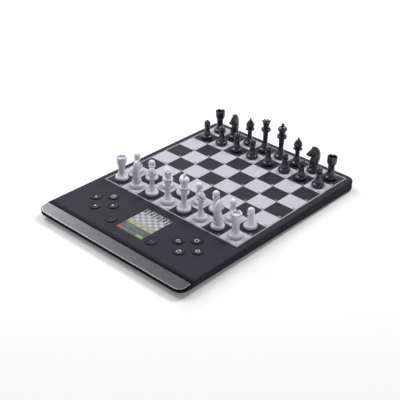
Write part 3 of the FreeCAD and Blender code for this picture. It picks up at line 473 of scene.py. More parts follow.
def smooth_copy(node, body, material):
    """Copy of a solid with its loose triangles joined, for soft shading on its rounds."""
    bm = bmesh.new()
    bm.from_mesh(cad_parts[node].data)
    piece = finished(f"{node}_skin", bm, body, [node], material, sharp=28.0, outwards=False)
    weighted = piece.modifiers.new("even normals", "WEIGHTED_NORMAL")
    weighted.keep_sharp = True


def dress(node, material):
    """New finish on a solid that keeps its shape."""
    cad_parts[node].material_slots[0].material = material


def fitted(spot, lean, size):
    """Matrix that sizes a unit shape, leans it about the X axis and moves it, in millimetres."""
    return (Matrix.Translation([part * MM for part in spot]) @ Matrix.Rotation(math.radians(lean), 4, "X")
            @ Matrix.Diagonal([*(part * MM for part in size), 1.0]))


def draw_outline(bm, steps, arc_steps):
    """Chain of edges in the XZ plane, from (radius, height) and (radius, height, rise) steps.

    The rise is how far an arc's middle stands off its chord, to the right of the way.
    """
    tip = bm.verts.new((steps[0][0] * MM, 0, steps[0][1] * MM))
    for radius, height, *rise in steps[1:]:
        goal = Vector((radius * MM, 0, height * MM))
        if not rise:
            tip = bmesh.ops.extrude_vert_indiv(bm, verts=[tip])["verts"][0]
            tip.co = goal
            continue
        chord = goal - tip.co
        bulge = rise[0] * MM
        sweep = 4 * math.atan(2 * abs(bulge) / chord.length)
        left = Vector((-chord.z, 0, chord.x)).normalized() * math.copysign(1, bulge)
        centre = (tip.co + goal) / 2 + left * (chord.length / 2 / math.tan(sweep / 2))
        turned = bmesh.ops.spin(bm, geom=[tip], cent=centre, axis=(0, -math.copysign(1, bulge), 0),
                                angle=sweep, steps=arc_steps)
        tip = next(item for item in turned["geom_last"] if isinstance(item, bmesh.types.BMVert))


def turned_from(looks, steps, fineness=1):
    """Turned solid from an outline."""
    bm = bmesh.new()
    draw_outline(bm, steps, looks.arc_steps)
    bmesh.ops.spin(bm, geom=bm.verts[:] + bm.edges[:], cent=(0, 0, 0), axis=(0, 0, 1),
                   angle=2 * math.pi, steps=looks.turns * fineness, use_merge=True)
    bmesh.ops.remove_doubles(bm, verts=bm.verts, dist=MERGE)
    return bm


def foot_steps(base, waist, flare):
    """Rounded foot and hollow flare of a chessman, as in the solids."""
    radius = base / 2
    belly, shoulder = 3.0, 6.6
    return [(0, 0), (radius - 1.6, 0), (radius, belly, 0.53), (radius - 2.2, shoulder, 0.73),
            (waist / 2, shoulder + flare, -flare / 10)]


def collar_steps(inner, collar, start, height):
    """Disc with a rounded rim round a stem."""
    flat = (collar - height) / 2
    return [(inner / 2, start), (flat, start), (flat, start + height, height * 0.49),
            (inner / 2, start + height)]


def ball_steps(radius, neck, start):
    """Ball on a neck, starting at a height."""
    middle = start + math.sqrt(radius * radius - neck * neck)
    chord = math.hypot(radius - neck, middle - start)
    rise = radius - math.sqrt(radius * radius - chord * chord / 4)
    return [(radius, middle, rise), (0, middle + radius, radius * (1 - math.sqrt(0.5)))]


def off_notch(point, notches):
    """How far a point lies from the nearest of evenly spaced notches round Z, as a share of their pitch."""
    place = math.atan2(point.y, point.x) / (2 * math.pi) * notches
    return (place + 0.5) % 1 - 0.5


def spot_of(node):
    """Middle of the square that a chessman's name gives."""
    file_letter, rank = node[-2], int(node[-1])
    return Vector((BOARD_MIDDLE.x + (FILES.index(file_letter) + 0.5 - len(FILES) / 2) * SQUARE,
                   FIELD_FRONT + (rank - 0.5) * SQUARE, BOARD_TOP))


def set_up(kind, model):
    """Copies of a chessman on all its squares. The model is a mesh round its own foot."""
    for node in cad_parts:
        if f"_{kind}_" not in node:
            continue
        bm = bmesh.new()
        bm.from_mesh(model)
        facing = Matrix.Rotation(math.radians(KNIGHT_TURNS.get(node, 0.0)), 4, "Z")
        bmesh.ops.transform(bm, matrix=Matrix.Translation(spot_of(node)) @ facing, verts=bm.verts)
        colour = node.split("_")[0]
        finished(f"{node}_turned", bm, node, [node],
                 bpy.data.materials[f"{colour}_men_plastic"], sharp=42.0)
    bpy.data.meshes.remove(model)


def model_of(bm):
    """Mesh with its faces outwards, in place of a bmesh."""
    mesh = bpy.data.meshes.new("model")
    bmesh.ops.recalc_face_normals(bm, faces=bm.faces)
    bm.to_mesh(mesh)
    bm.free()
    return mesh


def grown_together(model):
    """Overlapping closed skins as one soft skin."""
    piece = bpy.data.objects.new("clay", model)
    bpy.context.scene.collection.objects.link(piece)
    joined = piece.modifiers.new("join", "REMESH")
    joined.mode = "VOXEL"
    joined.voxel_size = 0.3 * MM
    smooth = piece.modifiers.new("smooth", "SMOOTH")
    smooth.factor = 0.5
    smooth.iterations = 4
    return baked(piece)


def carve(model, spot, lean, size):
    """Model with a leaning flat block cut out of it, in millimetres."""
    block = bmesh.new()
    bmesh.ops.create_cube(block, size=1.0)
    bmesh.ops.transform(block, matrix=fitted(spot, lean, size), verts=block.verts)
    piece, knife = (bpy.data.objects.new("carving", mesh) for mesh in (model, model_of(block)))
    for each in (piece, knife):
        bpy.context.scene.collection.objects.link(each)
    cut = piece.modifiers.new("cut", "BOOLEAN")
    cut.operation = "DIFFERENCE"
    cut.solver = "EXACT"
    cut.object = knife
    carved = baked(piece)
    mesh = knife.data
    bpy.data.objects.remove(knife)
    bpy.data.meshes.remove(mesh)
    return carved


def baked(piece):
    """Mesh of an object after its modifiers, in place of the object."""
    mesh = bpy.data.meshes.new_from_object(piece.evaluated_get(bpy.context.evaluated_depsgraph_get()))
    model = piece.data
    bpy.data.objects.remove(piece)
    bpy.data.meshes.remove(model)
    return mesh


# Chessmen, in millimetres

# What lies this near a rim belongs to it
HAIR = 0.01


class CHESS_OT_men_plastic(bpy.types.Operator):
    """Make the two plastics that the chessmen share"""

    bl_idname = "chess.men_plastic"
    bl_label = "Plastic of the Men"

    def execute(self, context):
        looks = context.scene.chess_men
        polished_plastic("white_men_plastic", looks.white_colour, roughness=0.3)
        polished_plastic("black_men_plastic", looks.black_colour, roughness=0.27)
        return {"FINISHED"}


class CHESS_OT_pawns(bpy.types.Operator):
    """Turn the pawns"""

    bl_idname = "chess.pawns"
    bl_label = "Pawns"

    def execute(self, context):
        neck = 23.7
        bm = turned_from(context.scene.chess_men, [
            *foot_steps(base=20.0, waist=8.4, flare=13.0), *collar_steps(7.0, 10.8, 21.6, 1.6),
            (3.5, neck), *ball_steps(5.2, 3.5, neck)])
        set_up("pawn", model_of(bm))
        return {"FINISHED"}


class CHESS_OT_rooks(bpy.types.Operator):
    """Turn the rooks and raise their battlements"""

    bl_idname = "chess.rooks"
    bl_label = "Rooks"

    def execute(self, context):
        wall, hollow, floor, rim = 7.8, 5.8, 35.2, 37.1
        notches, notch_share, merlon = 6, 0.28, 1.7
        bm = turned_from(context.scene.chess_men, [
            *foot_steps(base=20.5, waist=10.4, flare=8.5), (5.2, 23.5), (wall, 30.0, 0.33), (wall, rim),
            (hollow, rim), (hollow, floor), (0, floor)], fineness=2)
        merlons = []
        for face in bm.faces:
            middle = face.calc_center_median()
            if middle.z > (rim - HAIR) * MM and abs(off_notch(middle, notches)) > notch_share / 2:
                merlons.append(face)
        raised = bmesh.ops.extrude_face_region(bm, geom=merlons)
        bmesh.ops.delete(bm, geom=merlons, context="FACES")
        tops = [item for item in raised["geom"] if isinstance(item, bmesh.types.BMVert)]
        bmesh.ops.translate(bm, vec=(0, 0, merlon * MM), verts=tops)
        set_up("rook", model_of(bm))
        return {"FINISHED"}


class CHESS_OT_bishops(bpy.types.Operator):
    """Turn the bishops and cut the slit in their heads"""

    bl_idname = "chess.bishops"
    bl_label = "Bishops"

    def execute(self, context):
        peak = 44.8
        bm = turned_from(context.scene.chess_men, [
            *foot_steps(base=20.0, waist=7.0, flare=12.0), *collar_steps(7.4, 15.0, 27.2, 1.8),
            (3.7, 30.4), (6.9, 35.0, 0.77), (1.3, peak, 1.2), *ball_steps(1.7, 1.3, peak)])
        slit = {"spot": (0, -3.4, 37.8), "lean": -45.0, "size": (24.0, 8.5, 1.1)}
        set_up("bishop", carve(model_of(bm), **slit))
        return {"FINISHED"}


class CHESS_OT_queens(bpy.types.Operator):
    """Turn the queens and scallop their coronets"""

    bl_idname = "chess.queens"
    bl_label = "Queens"

    def execute(self, context):
        rim, crown, lip, bowl = 54.2, 6.9, 5.1, 51.8
        points, notch = 8, 1.7
        bm = turned_from(context.scene.chess_men, [
            *foot_steps(base=21.0, waist=7.6, flare=13.0), *collar_steps(9.0, 15.6, 36.6, 1.9),
            *collar_steps(9.0, 15.6, 39.0, 1.9), (4.5, 41.4), (crown, rim, -0.53), (lip, rim),
            (1.4, bowl), *ball_steps(2.0, 1.4, bowl)], fineness=2)
        pitch = 2 * math.pi * crown / points
        for vert in bm.verts:
            reach = math.hypot(vert.co.x, vert.co.y)
            if reach > (lip - HAIR) * MM and vert.co.z > (rim - HAIR) * MM:
                away = pitch * off_notch(vert.co, points)
                vert.co.z -= math.sqrt(max(0.0, notch * notch - away * away)) * MM
        set_up("queen", model_of(bm))
        return {"FINISHED"}


class CHESS_OT_kings(bpy.types.Operator):
    """Turn the kings"""

    bl_idname = "chess.kings"
    bl_label = "Kings"

    def execute(self, context):
        neck = 56.6
        bm = turned_from(context.scene.chess_men, [
            *foot_steps(base=21.4, waist=7.8, flare=13.0), *collar_steps(9.6, 15.8, 35.6, 2.0),
            *collar_steps(9.6, 15.8, 38.1, 2.0), (4.8, 40.6), (7.5, 50.0, -0.94), (7.5, 51.6),
            (1.7, 55.8, 1.05), (1.7, neck), *ball_steps(2.5, 1.7, neck)])
        set_up("king", model_of(bm))
        return {"FINISHED"}


# Rings round the neck and the face: (forward, up, lean in degrees, half depth, half width)
NECK_RINGS = [
    (0.0, 11.8, 0, 6.8, 6.4), (0.0, 14.9, 0, 7.1, 6.0), (-0.7, 20.4, 6, 7.5, 5.3),
    (-1.7, 25.9, 3, 6.8, 4.7), (-1.5, 31.4, -10, 6.5, 4.3), (-0.2, 36.0, -32, 6.1, 4.0),
    (1.5, 39.3, -50, 4.6, 3.5), (2.6, 41.3, -60, 2.3, 2.0),
]
FACE_RINGS = [
    (1.4, 39.6, -138, 3.7, 3.2), (1.7, 35.7, -138, 6.1, 3.9), (3.5, 33.0, -138, 6.6, 3.8),
    (6.0, 30.9, -138, 6.1, 3.2), (8.4, 29.6, -138, 5.3, 3.0), (10.7, 29.1, -138, 3.9, 2.3),
    (12.4, 29.2, -138, 2.6, 1.4),
]
# Locks of the mane down the back of the neck: (forward, up, lean in degrees, length)
MANE_LOCKS = [
    (0.9, 42.4, 66, 3.0), (-1.8, 41.5, 52, 3.4), (-4.3, 39.4, 38, 3.6), (-6.2, 36.5, 24, 3.7),
    (-7.5, 33.1, 14, 3.8), (-8.2, 29.4, 7, 3.8), (-8.4, 25.6, 2, 3.7), (-8.2, 22.0, -4, 3.4),
    (-7.7, 18.8, -9, 3.0),
]
# Pairs of lumps on the head: (sideways, forward, up), lean in degrees and radii
HEAD_LUMPS = {
    "ear": ((1.5, 3.9, 41.5), -12, (0.85, 1.2, 2.4)),
    "eye": ((3.0, 5.9, 36.3), -40, (0.75, 0.8, 1.1)),
    "nostril": ((2.0, 11.5, 30.7), -40, (0.6, 0.6, 0.9)),
    "cheek": ((2.9, 3.4, 31.6), -40, (1.3, 3.0, 3.4)),
}
# Turn of each knight in degrees, counter-clockwise from looking to the far side
KNIGHT_TURNS = {
    "white_knight_b1": 8.0, "white_knight_g1": 0.0, "black_knight_b8": 178.0, "black_knight_g8": 140.0,
}


class CHESS_OT_knights(bpy.types.Operator):
    """Carve the knights"""

    bl_idname = "chess.knights"
    bl_label = "Knights"

    def execute(self, context):
        lock_width, lock_depth, lock_share = 1.5, 1.3, 0.72
        mouth = {"spot": (0, 11.6, 28.5), "lean": -37.0, "size": (14.0, 9.0, 0.6)}
        horse = bmesh.new()
        self.skin(horse, NECK_RINGS)
        self.skin(horse, FACE_RINGS)
        for forward, up, lean, length in MANE_LOCKS:
            self.lump(horse, (0, forward, up), lean, (lock_width, lock_depth, length * lock_share))
        for side in (-1, 1):
            for (sideways, forward, up), lean, radii in HEAD_LUMPS.values():
                self.lump(horse, (side * sideways, forward, up), lean, radii)
        head = carve(grown_together(model_of(horse)), **mouth)
        bm = turned_from(context.scene.chess_men, [
            *foot_steps(base=20.5, waist=13.6, flare=4.4), *collar_steps(13.6, 14.8, 11.0, 1.6),
            (0, 12.6)])
        bm.from_mesh(head)
        bpy.data.meshes.remove(head)
        set_up("knight", model_of(bm))
        return {"FINISHED"}

    def skin(self, bm, rings, between=5, segments=24):
        """Closed skin over oval rings, with softly blended rings between them."""
        blended = []
        last = len(rings) - 1
        for index in range(last):
            near = [Vector(rings[min(max(index + step, 0), last)]) for step in (-1, 0, 1, 2)]
            for step in range(between):
                blended.append(self.blend(near, step / between))
        blended.append(Vector(rings[-1]))
        loops = []
        for forward, up, lean, depth, width in blended:
            circle = bmesh.ops.create_circle(bm, radius=1.0, segments=segments)["verts"]
            bmesh.ops.transform(bm, matrix=fitted((0, forward, up), lean, (width, depth, 1)), verts=circle)
            loops.append(list({edge for vert in circle for edge in vert.link_edges}))
        for low, high in zip(loops, loops[1:]):
            bmesh.ops.bridge_loops(bm, edges=low + high)
        for end in (loops[0], loops[-1]):
            bmesh.ops.contextual_create(bm, geom=end)

    def blend(self, near, share):
        """Point on the smooth curve through four neighbours, between the middle two."""
        before, start, stop, after = near
        slope, bend = stop - before, 2 * before - 5 * start + 4 * stop - after
        twist = 3 * start - before - 3 * stop + after
        return start + 0.5 * share * (slope + share * (bend + share * twist))

    def lump(self, bm, spot, lean, radii):
        """Rounded lump, leaning forward."""
        ball = bmesh.ops.create_icosphere(bm, subdivisions=3, radius=1.0)["verts"]
        bmesh.ops.transform(bm, matrix=fitted(spot, -lean, radii), verts=ball)


# Console


class CHESS_OT_case(bpy.types.Operator):
    """Finish the upper and lower shell, the battery door and the feet"""

    bl_idname = "chess.case"
    bl_label = "Case"

    def execute(self, context):
        looks = context.scene.chess_console
        top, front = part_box("top_case")[1].z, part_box("front_trim")[1].y
        panel = satin_panel_with_painted_shade("panel_plastic", looks.panel_colour, top, front)
        shell = moulded_plastic("shell_plastic", looks.shell_colour, roughness=0.6, grain=600.0)
        smooth_copy("top_case", "console", panel)
        smooth_copy("bottom_case", "console", shell)
        smooth_copy("battery_door", "battery_door", shell)
        smooth_copy("rubber_feet", "console", soft_rubber("foot_rubber", looks.foot_colour))
        return {"FINISHED"}


class CHESS_OT_front_strip(bpy.types.Operator):
    """Finish the brushed strip along the front"""

    bl_idname = "chess.front_strip"
    bl_label = "Front Strip"

    def execute(self, context):
        looks = context.scene.chess_console
        metal = brushed_metal_painted_highlight("strip_metal", looks.strip_colour, looks.painted_highlight_colour, *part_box("front_trim"))
        smooth_copy("front_trim", "console", metal)
        return {"FINISHED"}


class CHESS_OT_board(bpy.types.Operator):
    """Print the playing board and its small square marks"""

    bl_idname = "chess.board"
    bl_label = "Playing Board"

    def execute(self, context):
        looks = context.scene.chess_board
        dress("playing_board", self.print_of_squares(looks))
        self.marks(looks)
        return {"FINISHED"}

    def print_of_squares(self, looks):
        """Squares and border line, both finely brushed across the board."""
        finish = Finish("board_print", specular_ior_level=0.22)
        x, y, _ = finish.axes()
        column = ((x - BOARD_MIDDLE.x) / SQUARE).floor()
        row = ((y - FIELD_FRONT) / SQUARE).floor()
        light = (column + row).even_or_odd()
        half_field = SQUARE * len(FILES) / 2
        reach = abs(x - BOARD_MIDDLE.x).larger(abs(y - BOARD_MIDDLE.y)) - half_field
        inside = reach < 0.0
        line = (reach > looks.line_gap) * (reach < looks.line_gap + looks.line_width)
        brush = finish.noise(100.0, stretch=(0.6, 14.0, 1.0), detail=3.0)
        dark = finish.shades(brush, looks.dark_colour, low=0.6, high=1.5)
        pale = finish.shades(brush, looks.light_colour, low=0.9, high=1.06)
        finish.feed("Base Color", finish.mix((light * inside).larger(line), dark, pale))
        finish.wear(brush, roughness=0.42, spread=0.25)
        finish.bump(brush, distance=0.02 * MM, strength=0.3)
        return finish.material

    def marks(self, looks):
        """Letter and number at the near right corner of every square."""
        dark_ink, pale_ink, lift = 0.012, 0.38, 0.02 * MM
        bm = bmesh.new()
        tint = bm.loops.layers.float_color.new("tint")
        for column, letter in enumerate(FILES):
            for row in range(len(FILES)):
                flat = flat_words(f"{letter}{row + 1}", looks.mark_height)
                right = max(vert.co.x for vert in flat.vertices)
                side = BOARD_MIDDLE.x + (column + 1 - len(FILES) / 2) * SQUARE
                flat.transform(Matrix.Translation((
                    side - looks.mark_inset - right, FIELD_FRONT + row * SQUARE + looks.mark_inset,
                    BOARD_TOP + lift)))
                known = len(bm.faces)
                bm.from_mesh(flat)
                bpy.data.meshes.remove(flat)
                bm.faces.ensure_lookup_table()
                ink = dark_ink if (column + row) % 2 else pale_ink
                for face in bm.faces[known:]:
                    for corner in face.loops:
                        corner[tint] = (ink, ink, ink, 1.0)
        finished("square_marks", bm, "console", [], tinted_print("mark_print"),
                 outwards=False)


def flat_words(words, height):
    """Flat mesh of a short bold text."""
    boldness = 0.03
    curve = bpy.data.curves.new("words", "FONT")
    curve.body = words
    curve.size = height
    curve.offset = boldness * height
    holder = bpy.data.objects.new("words", curve)
    mesh = bpy.data.meshes.new_from_object(holder)
    bpy.data.objects.remove(holder)
    bpy.data.curves.remove(curve)
    return mesh


# Signs of the push buttons, drawn about their middle


def arrow(u, v):
    """Filled arrow head that points along u."""
    return (u > -1.2) * (u + 1.7 * abs(v) < 1.6)


def frame_sign(u, v):
    """Square outline with a stub on top."""
    square = abs(abs(u).larger(abs(v)) - 1.9) < 0.38
    return square.larger((abs(u) < 0.6) * (abs(v - 2.6) < 0.7))


def diamond(u, v):
    """Diamond outline with a dot in it."""
    return (abs(abs(u) + abs(v) - 2.6) < 0.5).larger(u.length_with(v) < 0.7)


def house(u, v):
    """Roof over a bar."""
    roof = (abs(v + abs(u) * 0.9 - 1.9) < 0.5) * (v > -0.6)
    return roof.larger((abs(u) < 1.9) * (abs(v + 1.6) < 0.4))


def open_ring(u, v):
    """Ring with a gap for a short stroke at the top."""
    ring = abs(u.length_with(v) - 2.1) < 0.42
    gap = (abs(u) < 1.0) * (v > 0.0)
    return (ring * (1 - gap)).larger((abs(u) < 0.4) * (abs(v - 1.9) < 1.0))


def cross(u, v):
    """Two crossing diagonal strokes."""
    strokes = (abs(u - v) < 0.6).larger(abs(u + v) < 0.6)
    return strokes * (abs(u).larger(abs(v)) < 1.6)


def tick(u, v):
    """Check mark."""
    short = (abs(u + v + 1.1) < 0.52) * (abs(u + 0.9) < 0.75)
    long = (abs(u - v - 0.4) < 0.52) * (abs(u - 0.75) < 1.05)
    return short.larger(long)


# One unit of the sign functions
SIGN_UNIT = 1.35 * MM
# Sign, which way its u points and which colour it has
BUTTON_SIGNS = {
    "button_left_west": (arrow, (-1, 0), "sign_colour"),
    "button_left_east": (arrow, (1, 0), "sign_colour"),
    "button_left_south": (arrow, (0, -1), "sign_colour"),
    "button_left_north": (frame_sign, (1, 0), "outline_sign_colour"),
    "button_right_west": (house, (1, 0), "outline_sign_colour"),
    "button_right_east": (diamond, (1, 0), "outline_sign_colour"),
    "button_right_south": (frame_sign, (1, 0), "outline_sign_colour"),
    "button_right_north": (open_ring, (1, 0), "outline_sign_colour"),
    "button_red": (cross, (1, 0), "red_sign_colour"),
    "button_green": (tick, (1, 0), "green_sign_colour"),
}
# Outline of a button: stem, flange, side, rounded edge and dished top
BUTTON_STEPS = [
    (0, 0), (4.0, 0), (4.0, 1.7), (9.9, 1.7), (9.9, 2.7), (8.3, 2.7), (8.3, 5.7), (7.6, 6.4, 0.205),
    (7.2, 6.38, 0.02), (0, 5.9, -0.12),
]


class CHESS_OT_buttons(bpy.types.Operator):
    """Turn the push buttons and print their signs"""

    bl_idname = "chess.buttons"
    bl_label = "Push Buttons"

    def execute(self, context):
        looks = context.scene.chess_console
        for node, (sign, way, colour) in BUTTON_SIGNS.items():
            low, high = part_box(node)
            middle = (low + high) / 2
            bm = turned_from(context.scene.chess_men, BUTTON_STEPS)
            bmesh.ops.translate(bm, vec=(middle.x, middle.y, low.z), verts=bm.verts)
            cap = self.printed_cap_with_painted_shade(f"{node}_print", looks.cap_colour, middle, high.z, sign, way,
                                   getattr(looks, colour))
            finished(f"{node}_cap", bm, node, [node], cap)
        return {"FINISHED"}

    def printed_cap_with_painted_shade(self, name, colour, middle, top, sign, way, sign_colour):
        """Moulded cap with a sign on its dished top and painted shade on its sides."""
        # Share of the colour left by the painted shade on the cap's sides
        dish, painted_side_shade = 0.6 * MM, 0.2
        finish = Finish(name, coat_weight=0.05, coat_roughness=0.3, specular_ior_level=0.16)
        x, y, z = finish.axes()
        across, along = (x - middle.x) / SIGN_UNIT, (y - middle.y) / SIGN_UNIT
        u = across * way[0] + along * way[1]
        v = along * way[0] - across * way[1]
        printed = sign(u, v) * (z > BOARD_TOP)
        cloud = finish.noise(800.0)
        plastic = finish.shades(cloud, colour, low=0.85, high=1.15)
        # Painted shade: below the dish the cap's sides take a darker copy of its colour
        plastic = finish.mix(z < top - dish, plastic, shaded(colour, painted_side_shade))
        finish.feed("Base Color", finish.mix(printed, plastic, sign_colour))
        finish.wear(cloud, roughness=0.38, spread=0.15)
        finish.bump(cloud, distance=0.03 * MM, strength=0.3)
        return finish.material


# Display, in millimetres

# Frame of the module round its picture
PICTURE_RIM = 4.05
# Depth of the diagram as a share of its width
DIAGRAM_DEPTH = 0.88
# Layers of the picture, from the glass up
GROUND, FIGURES, WORDS = 1, 2, 3
LAYER_STEP = 0.02 * MM
# Bars that stand for words: (left, right, level as a share of the field's depth, shade)
WORD_BARS = [
    (5, 22, 0.78, 0.36), (5, 16, 0.58, 0.30), (27, 42, 0.62, 0.28), (10, 20, 0.18, 0.38),
    (23, 33, 0.18, 0.32),
]
WORD_BAR_DEPTH = 1.0
MEN_ROW = ["rook", "knight", "bishop", "queen", "king", "bishop", "knight", "rook"]
# Flat picture of each man in a unit square: bars (left, low, right, high) and discs (x, y, rx, ry)
SMALL_MEN = {
    "pawn": ([(-0.19, -0.34, 0.19, 0.04)], [(0, 0.14, 0.23, 0.22)]),
    "rook": ([(-0.24, -0.34, 0.24, 0.16), (-0.34, 0.16, 0.34, 0.40)], []),
    "knight": ([(-0.24, -0.34, 0.22, 0.08)], [(-0.04, 0.16, 0.32, 0.24)]),
    "bishop": ([(-0.16, -0.34, 0.16, 0.0)], [(0, 0.08, 0.24, 0.27), (0, 0.38, 0.08, 0.08)]),
    "queen": ([(-0.20, -0.34, 0.20, 0.10)], [(-0.28, 0.28, 0.09, 0.16), (0, 0.32, 0.09, 0.18),
                                             (0.28, 0.28, 0.09, 0.16)]),
    "king": ([(-0.22, -0.34, 0.22, 0.10), (-0.06, 0.10, 0.06, 0.46), (-0.17, 0.26, 0.17, 0.36)], []),
}
SMALL_FOOT = (-0.34, -0.44, 0.34, -0.34)
# Size of that picture against its square
SMALL_MAN_SIZE = 1.12


class Picture:
    """Flat coloured shapes in thin layers on the display's glass."""

    def __init__(self, corner):
        self.bm = bmesh.new()
        self.tint = self.bm.loops.layers.float_color.new("tint")
        self.corner = corner

    def paint(self, verts, middle, half, layer, colour):
        """Put a unit shape in its place, measured from the near left corner."""
        spot = self.corner + Vector((middle[0] * MM, middle[1] * MM, layer * LAYER_STEP))
        bmesh.ops.transform(self.bm, verts=verts, matrix=Matrix.Translation(spot)
                            @ Matrix.Diagonal((half[0] * MM, half[1] * MM, 1.0, 1.0)))
        for face in {face for vert in verts for face in vert.link_faces}:
            for corner in face.loops:
                corner[self.tint] = (*colour, 1.0)

    def bar(self, left, low, right, high, layer, colour):
        """Rectangle between its sides."""
        verts = bmesh.ops.create_grid(self.bm, x_segments=1, y_segments=1, size=1.0)["verts"]
        self.paint(verts, ((left + right) / 2, (low + high) / 2),
                   ((right - left) / 2, (high - low) / 2), layer, colour)

    def disc(self, x, y, rx, ry, layer, colour):
        """Oval about its middle."""
        verts = bmesh.ops.create_circle(self.bm, cap_ends=True, radius=1.0, segments=14)["verts"]
        self.paint(verts, (x, y), (rx, ry), layer, colour)

    def man(self, kind, x, y, wide, deep, layer, colour):
        """Small man about the middle of its square."""
        bars, discs = SMALL_MEN[kind]
        for left, low, right, high in [SMALL_FOOT, *bars]:
            self.bar(x + left * wide, y + low * deep, x + right * wide, y + high * deep, layer, colour)
        for cx, cy, rx, ry in discs:
            self.disc(x + cx * wide, y + cy * deep, rx * wide, ry * deep, layer, colour)


class CHESS_OT_display(bpy.types.Operator):
    """Draw the picture on the display and finish its window"""

    bl_idname = "chess.display"
    bl_label = "Display"

    def execute(self, context):
        looks = context.scene.chess_display
        low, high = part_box("lcd_module")
        wide, deep = ((high - low) / MM - Vector((2 * PICTURE_RIM, 2 * PICTURE_RIM, 0))).xy
        status = deep - DIAGRAM_DEPTH * wide
        picture = Picture(Vector((low.x + PICTURE_RIM * MM, low.y + PICTURE_RIM * MM, high.z)))
        self.status_area(picture, looks, wide, status)
        self.diagram(picture, looks, wide, status, (deep - status) / len(FILES))
        finished("display_picture", picture.bm, "console", [],
                 tinted_print("display_print", roughness=0.3, glow=0.1), outwards=False)
        dress("lcd_module", moulded_plastic("display_frame", (0.02, 0.02, 0.022), roughness=0.4))
        dress("display_window", self.clear_window())
        return {"FINISHED"}

    def status_area(self, picture, looks, wide, status):
        """Coloured fields and plain bars in front of the diagram."""
        # Left, right, low and high as shares of the field's depth, layer and colour
        fields = [
            (0, wide, 0, 1, GROUND, looks.status_colour),
            (0, wide, 0, 0.38, FIGURES, looks.band_colour),
            (0.3, 7.8, 0.11, 0.35, WORDS, looks.red_block_colour),
            (wide - 13.2, wide - 1.0, 0.08, 0.31, WORDS, looks.green_block_colour),
            (13.2, 16.5, 0.40, 0.47, WORDS, looks.red_dash_colour),
        ]
        for left, right, low, high, layer, colour in fields:
            picture.bar(left, status * low, right, status * high, layer, colour)
        for left, right, level, shade in WORD_BARS:
            picture.bar(left, status * level, right, status * level + WORD_BAR_DEPTH, WORDS,
                        (shade, shade, shade * 0.95))

    def diagram(self, picture, looks, wide, status, deep):
        """Small chess board with the men in their first places."""
        step = wide / len(FILES)
        last = len(FILES) - 1
        for column, officer in enumerate(MEN_ROW):
            for row in range(len(FILES)):
                square = looks.pale_square_colour if (column + row) % 2 else looks.dull_square_colour
                left, low = column * step, status + row * deep
                picture.bar(left, low, left + step, low + deep, GROUND, square)
                if 1 < row < last - 1:
                    continue
                kind = officer if row in (0, last) else "pawn"
                colour = looks.near_men_colour if row < 2 else looks.far_men_colour
                picture.man(kind, left + step / 2, low + deep / 2, step * SMALL_MAN_SIZE,
                            deep * SMALL_MAN_SIZE, FIGURES, colour)

    def clear_window(self):
        """Clear plastic with faint smears."""
        finish = Finish("window_clear", base_color=(0.25, 0.26, 0.27, 1.0), specular_ior_level=0.5)
        smear = finish.noise(90.0)
        finish.wear(smear, roughness=0.06, spread=0.06)
        finish.feed("Alpha", 0.10 + 0.04 * (smear - 0.5))
        return finish.material


class CHESS_OT_inner_parts(bpy.types.Operator):
    """Finish what lies inside the case and in its back wall"""

    bl_idname = "chess.inner_parts"
    bl_label = "Inner Parts"

    def execute(self, context):
        resist = circuit_resist("board_resist")
        bright = plain_metal("plated_metal", (0.55, 0.55, 0.56), roughness=0.32)
        for node in ("battery_contacts", "case_screws", "board_screws", "power_socket"):
            dress(node, bright)
        for node in ("sensor_board", "main_circuit_board"):
            dress(node, resist)
        dress("keypad_sheet", soft_rubber("keypad_rubber", (0.35, 0.35, 0.36)))
        dress("speaker", plain_metal("speaker_steel", (0.05, 0.05, 0.055), roughness=0.5))
        dress("battery_cells", self.cell_jacket())
        return {"FINISHED"}

    def cell_jacket(self):
        """Dark sleeve with a bright band near one end."""
        band_start, band_end, band_colour = 0.70, 0.88, (0.45, 0.36, 0.14)
        dark, pale = (0.02, 0.022, 0.028), (0.035, 0.038, 0.046)
        finish = Finish("cell_sleeve", coat_weight=0.2)
        low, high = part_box("battery_cells")
        _, y, _ = finish.axes()
        share = (y - low.y) / (high.y - low.y)
        band = (share > band_start) * (share < band_end)
        sleeve = finish.mix(finish.noise(300.0), dark, pale)
        finish.feed("Base Color", finish.mix(band, sleeve, band_colour))
        finish.feed("Metallic", band * 0.8)
        finish.wear(finish.noise(500.0), roughness=0.36, spread=0.15)
        return finish.material


# Stage, in metres

# Where each lamp hangs and how wide it is
LAMPS = {
    "key": ((-1.0, -0.35, 1.6), 1.4),
    "rear": ((0.22, 0.95, 1.5), 0.7),
    "side": ((-1.83, 0.50, 1.22), 0.6),
}


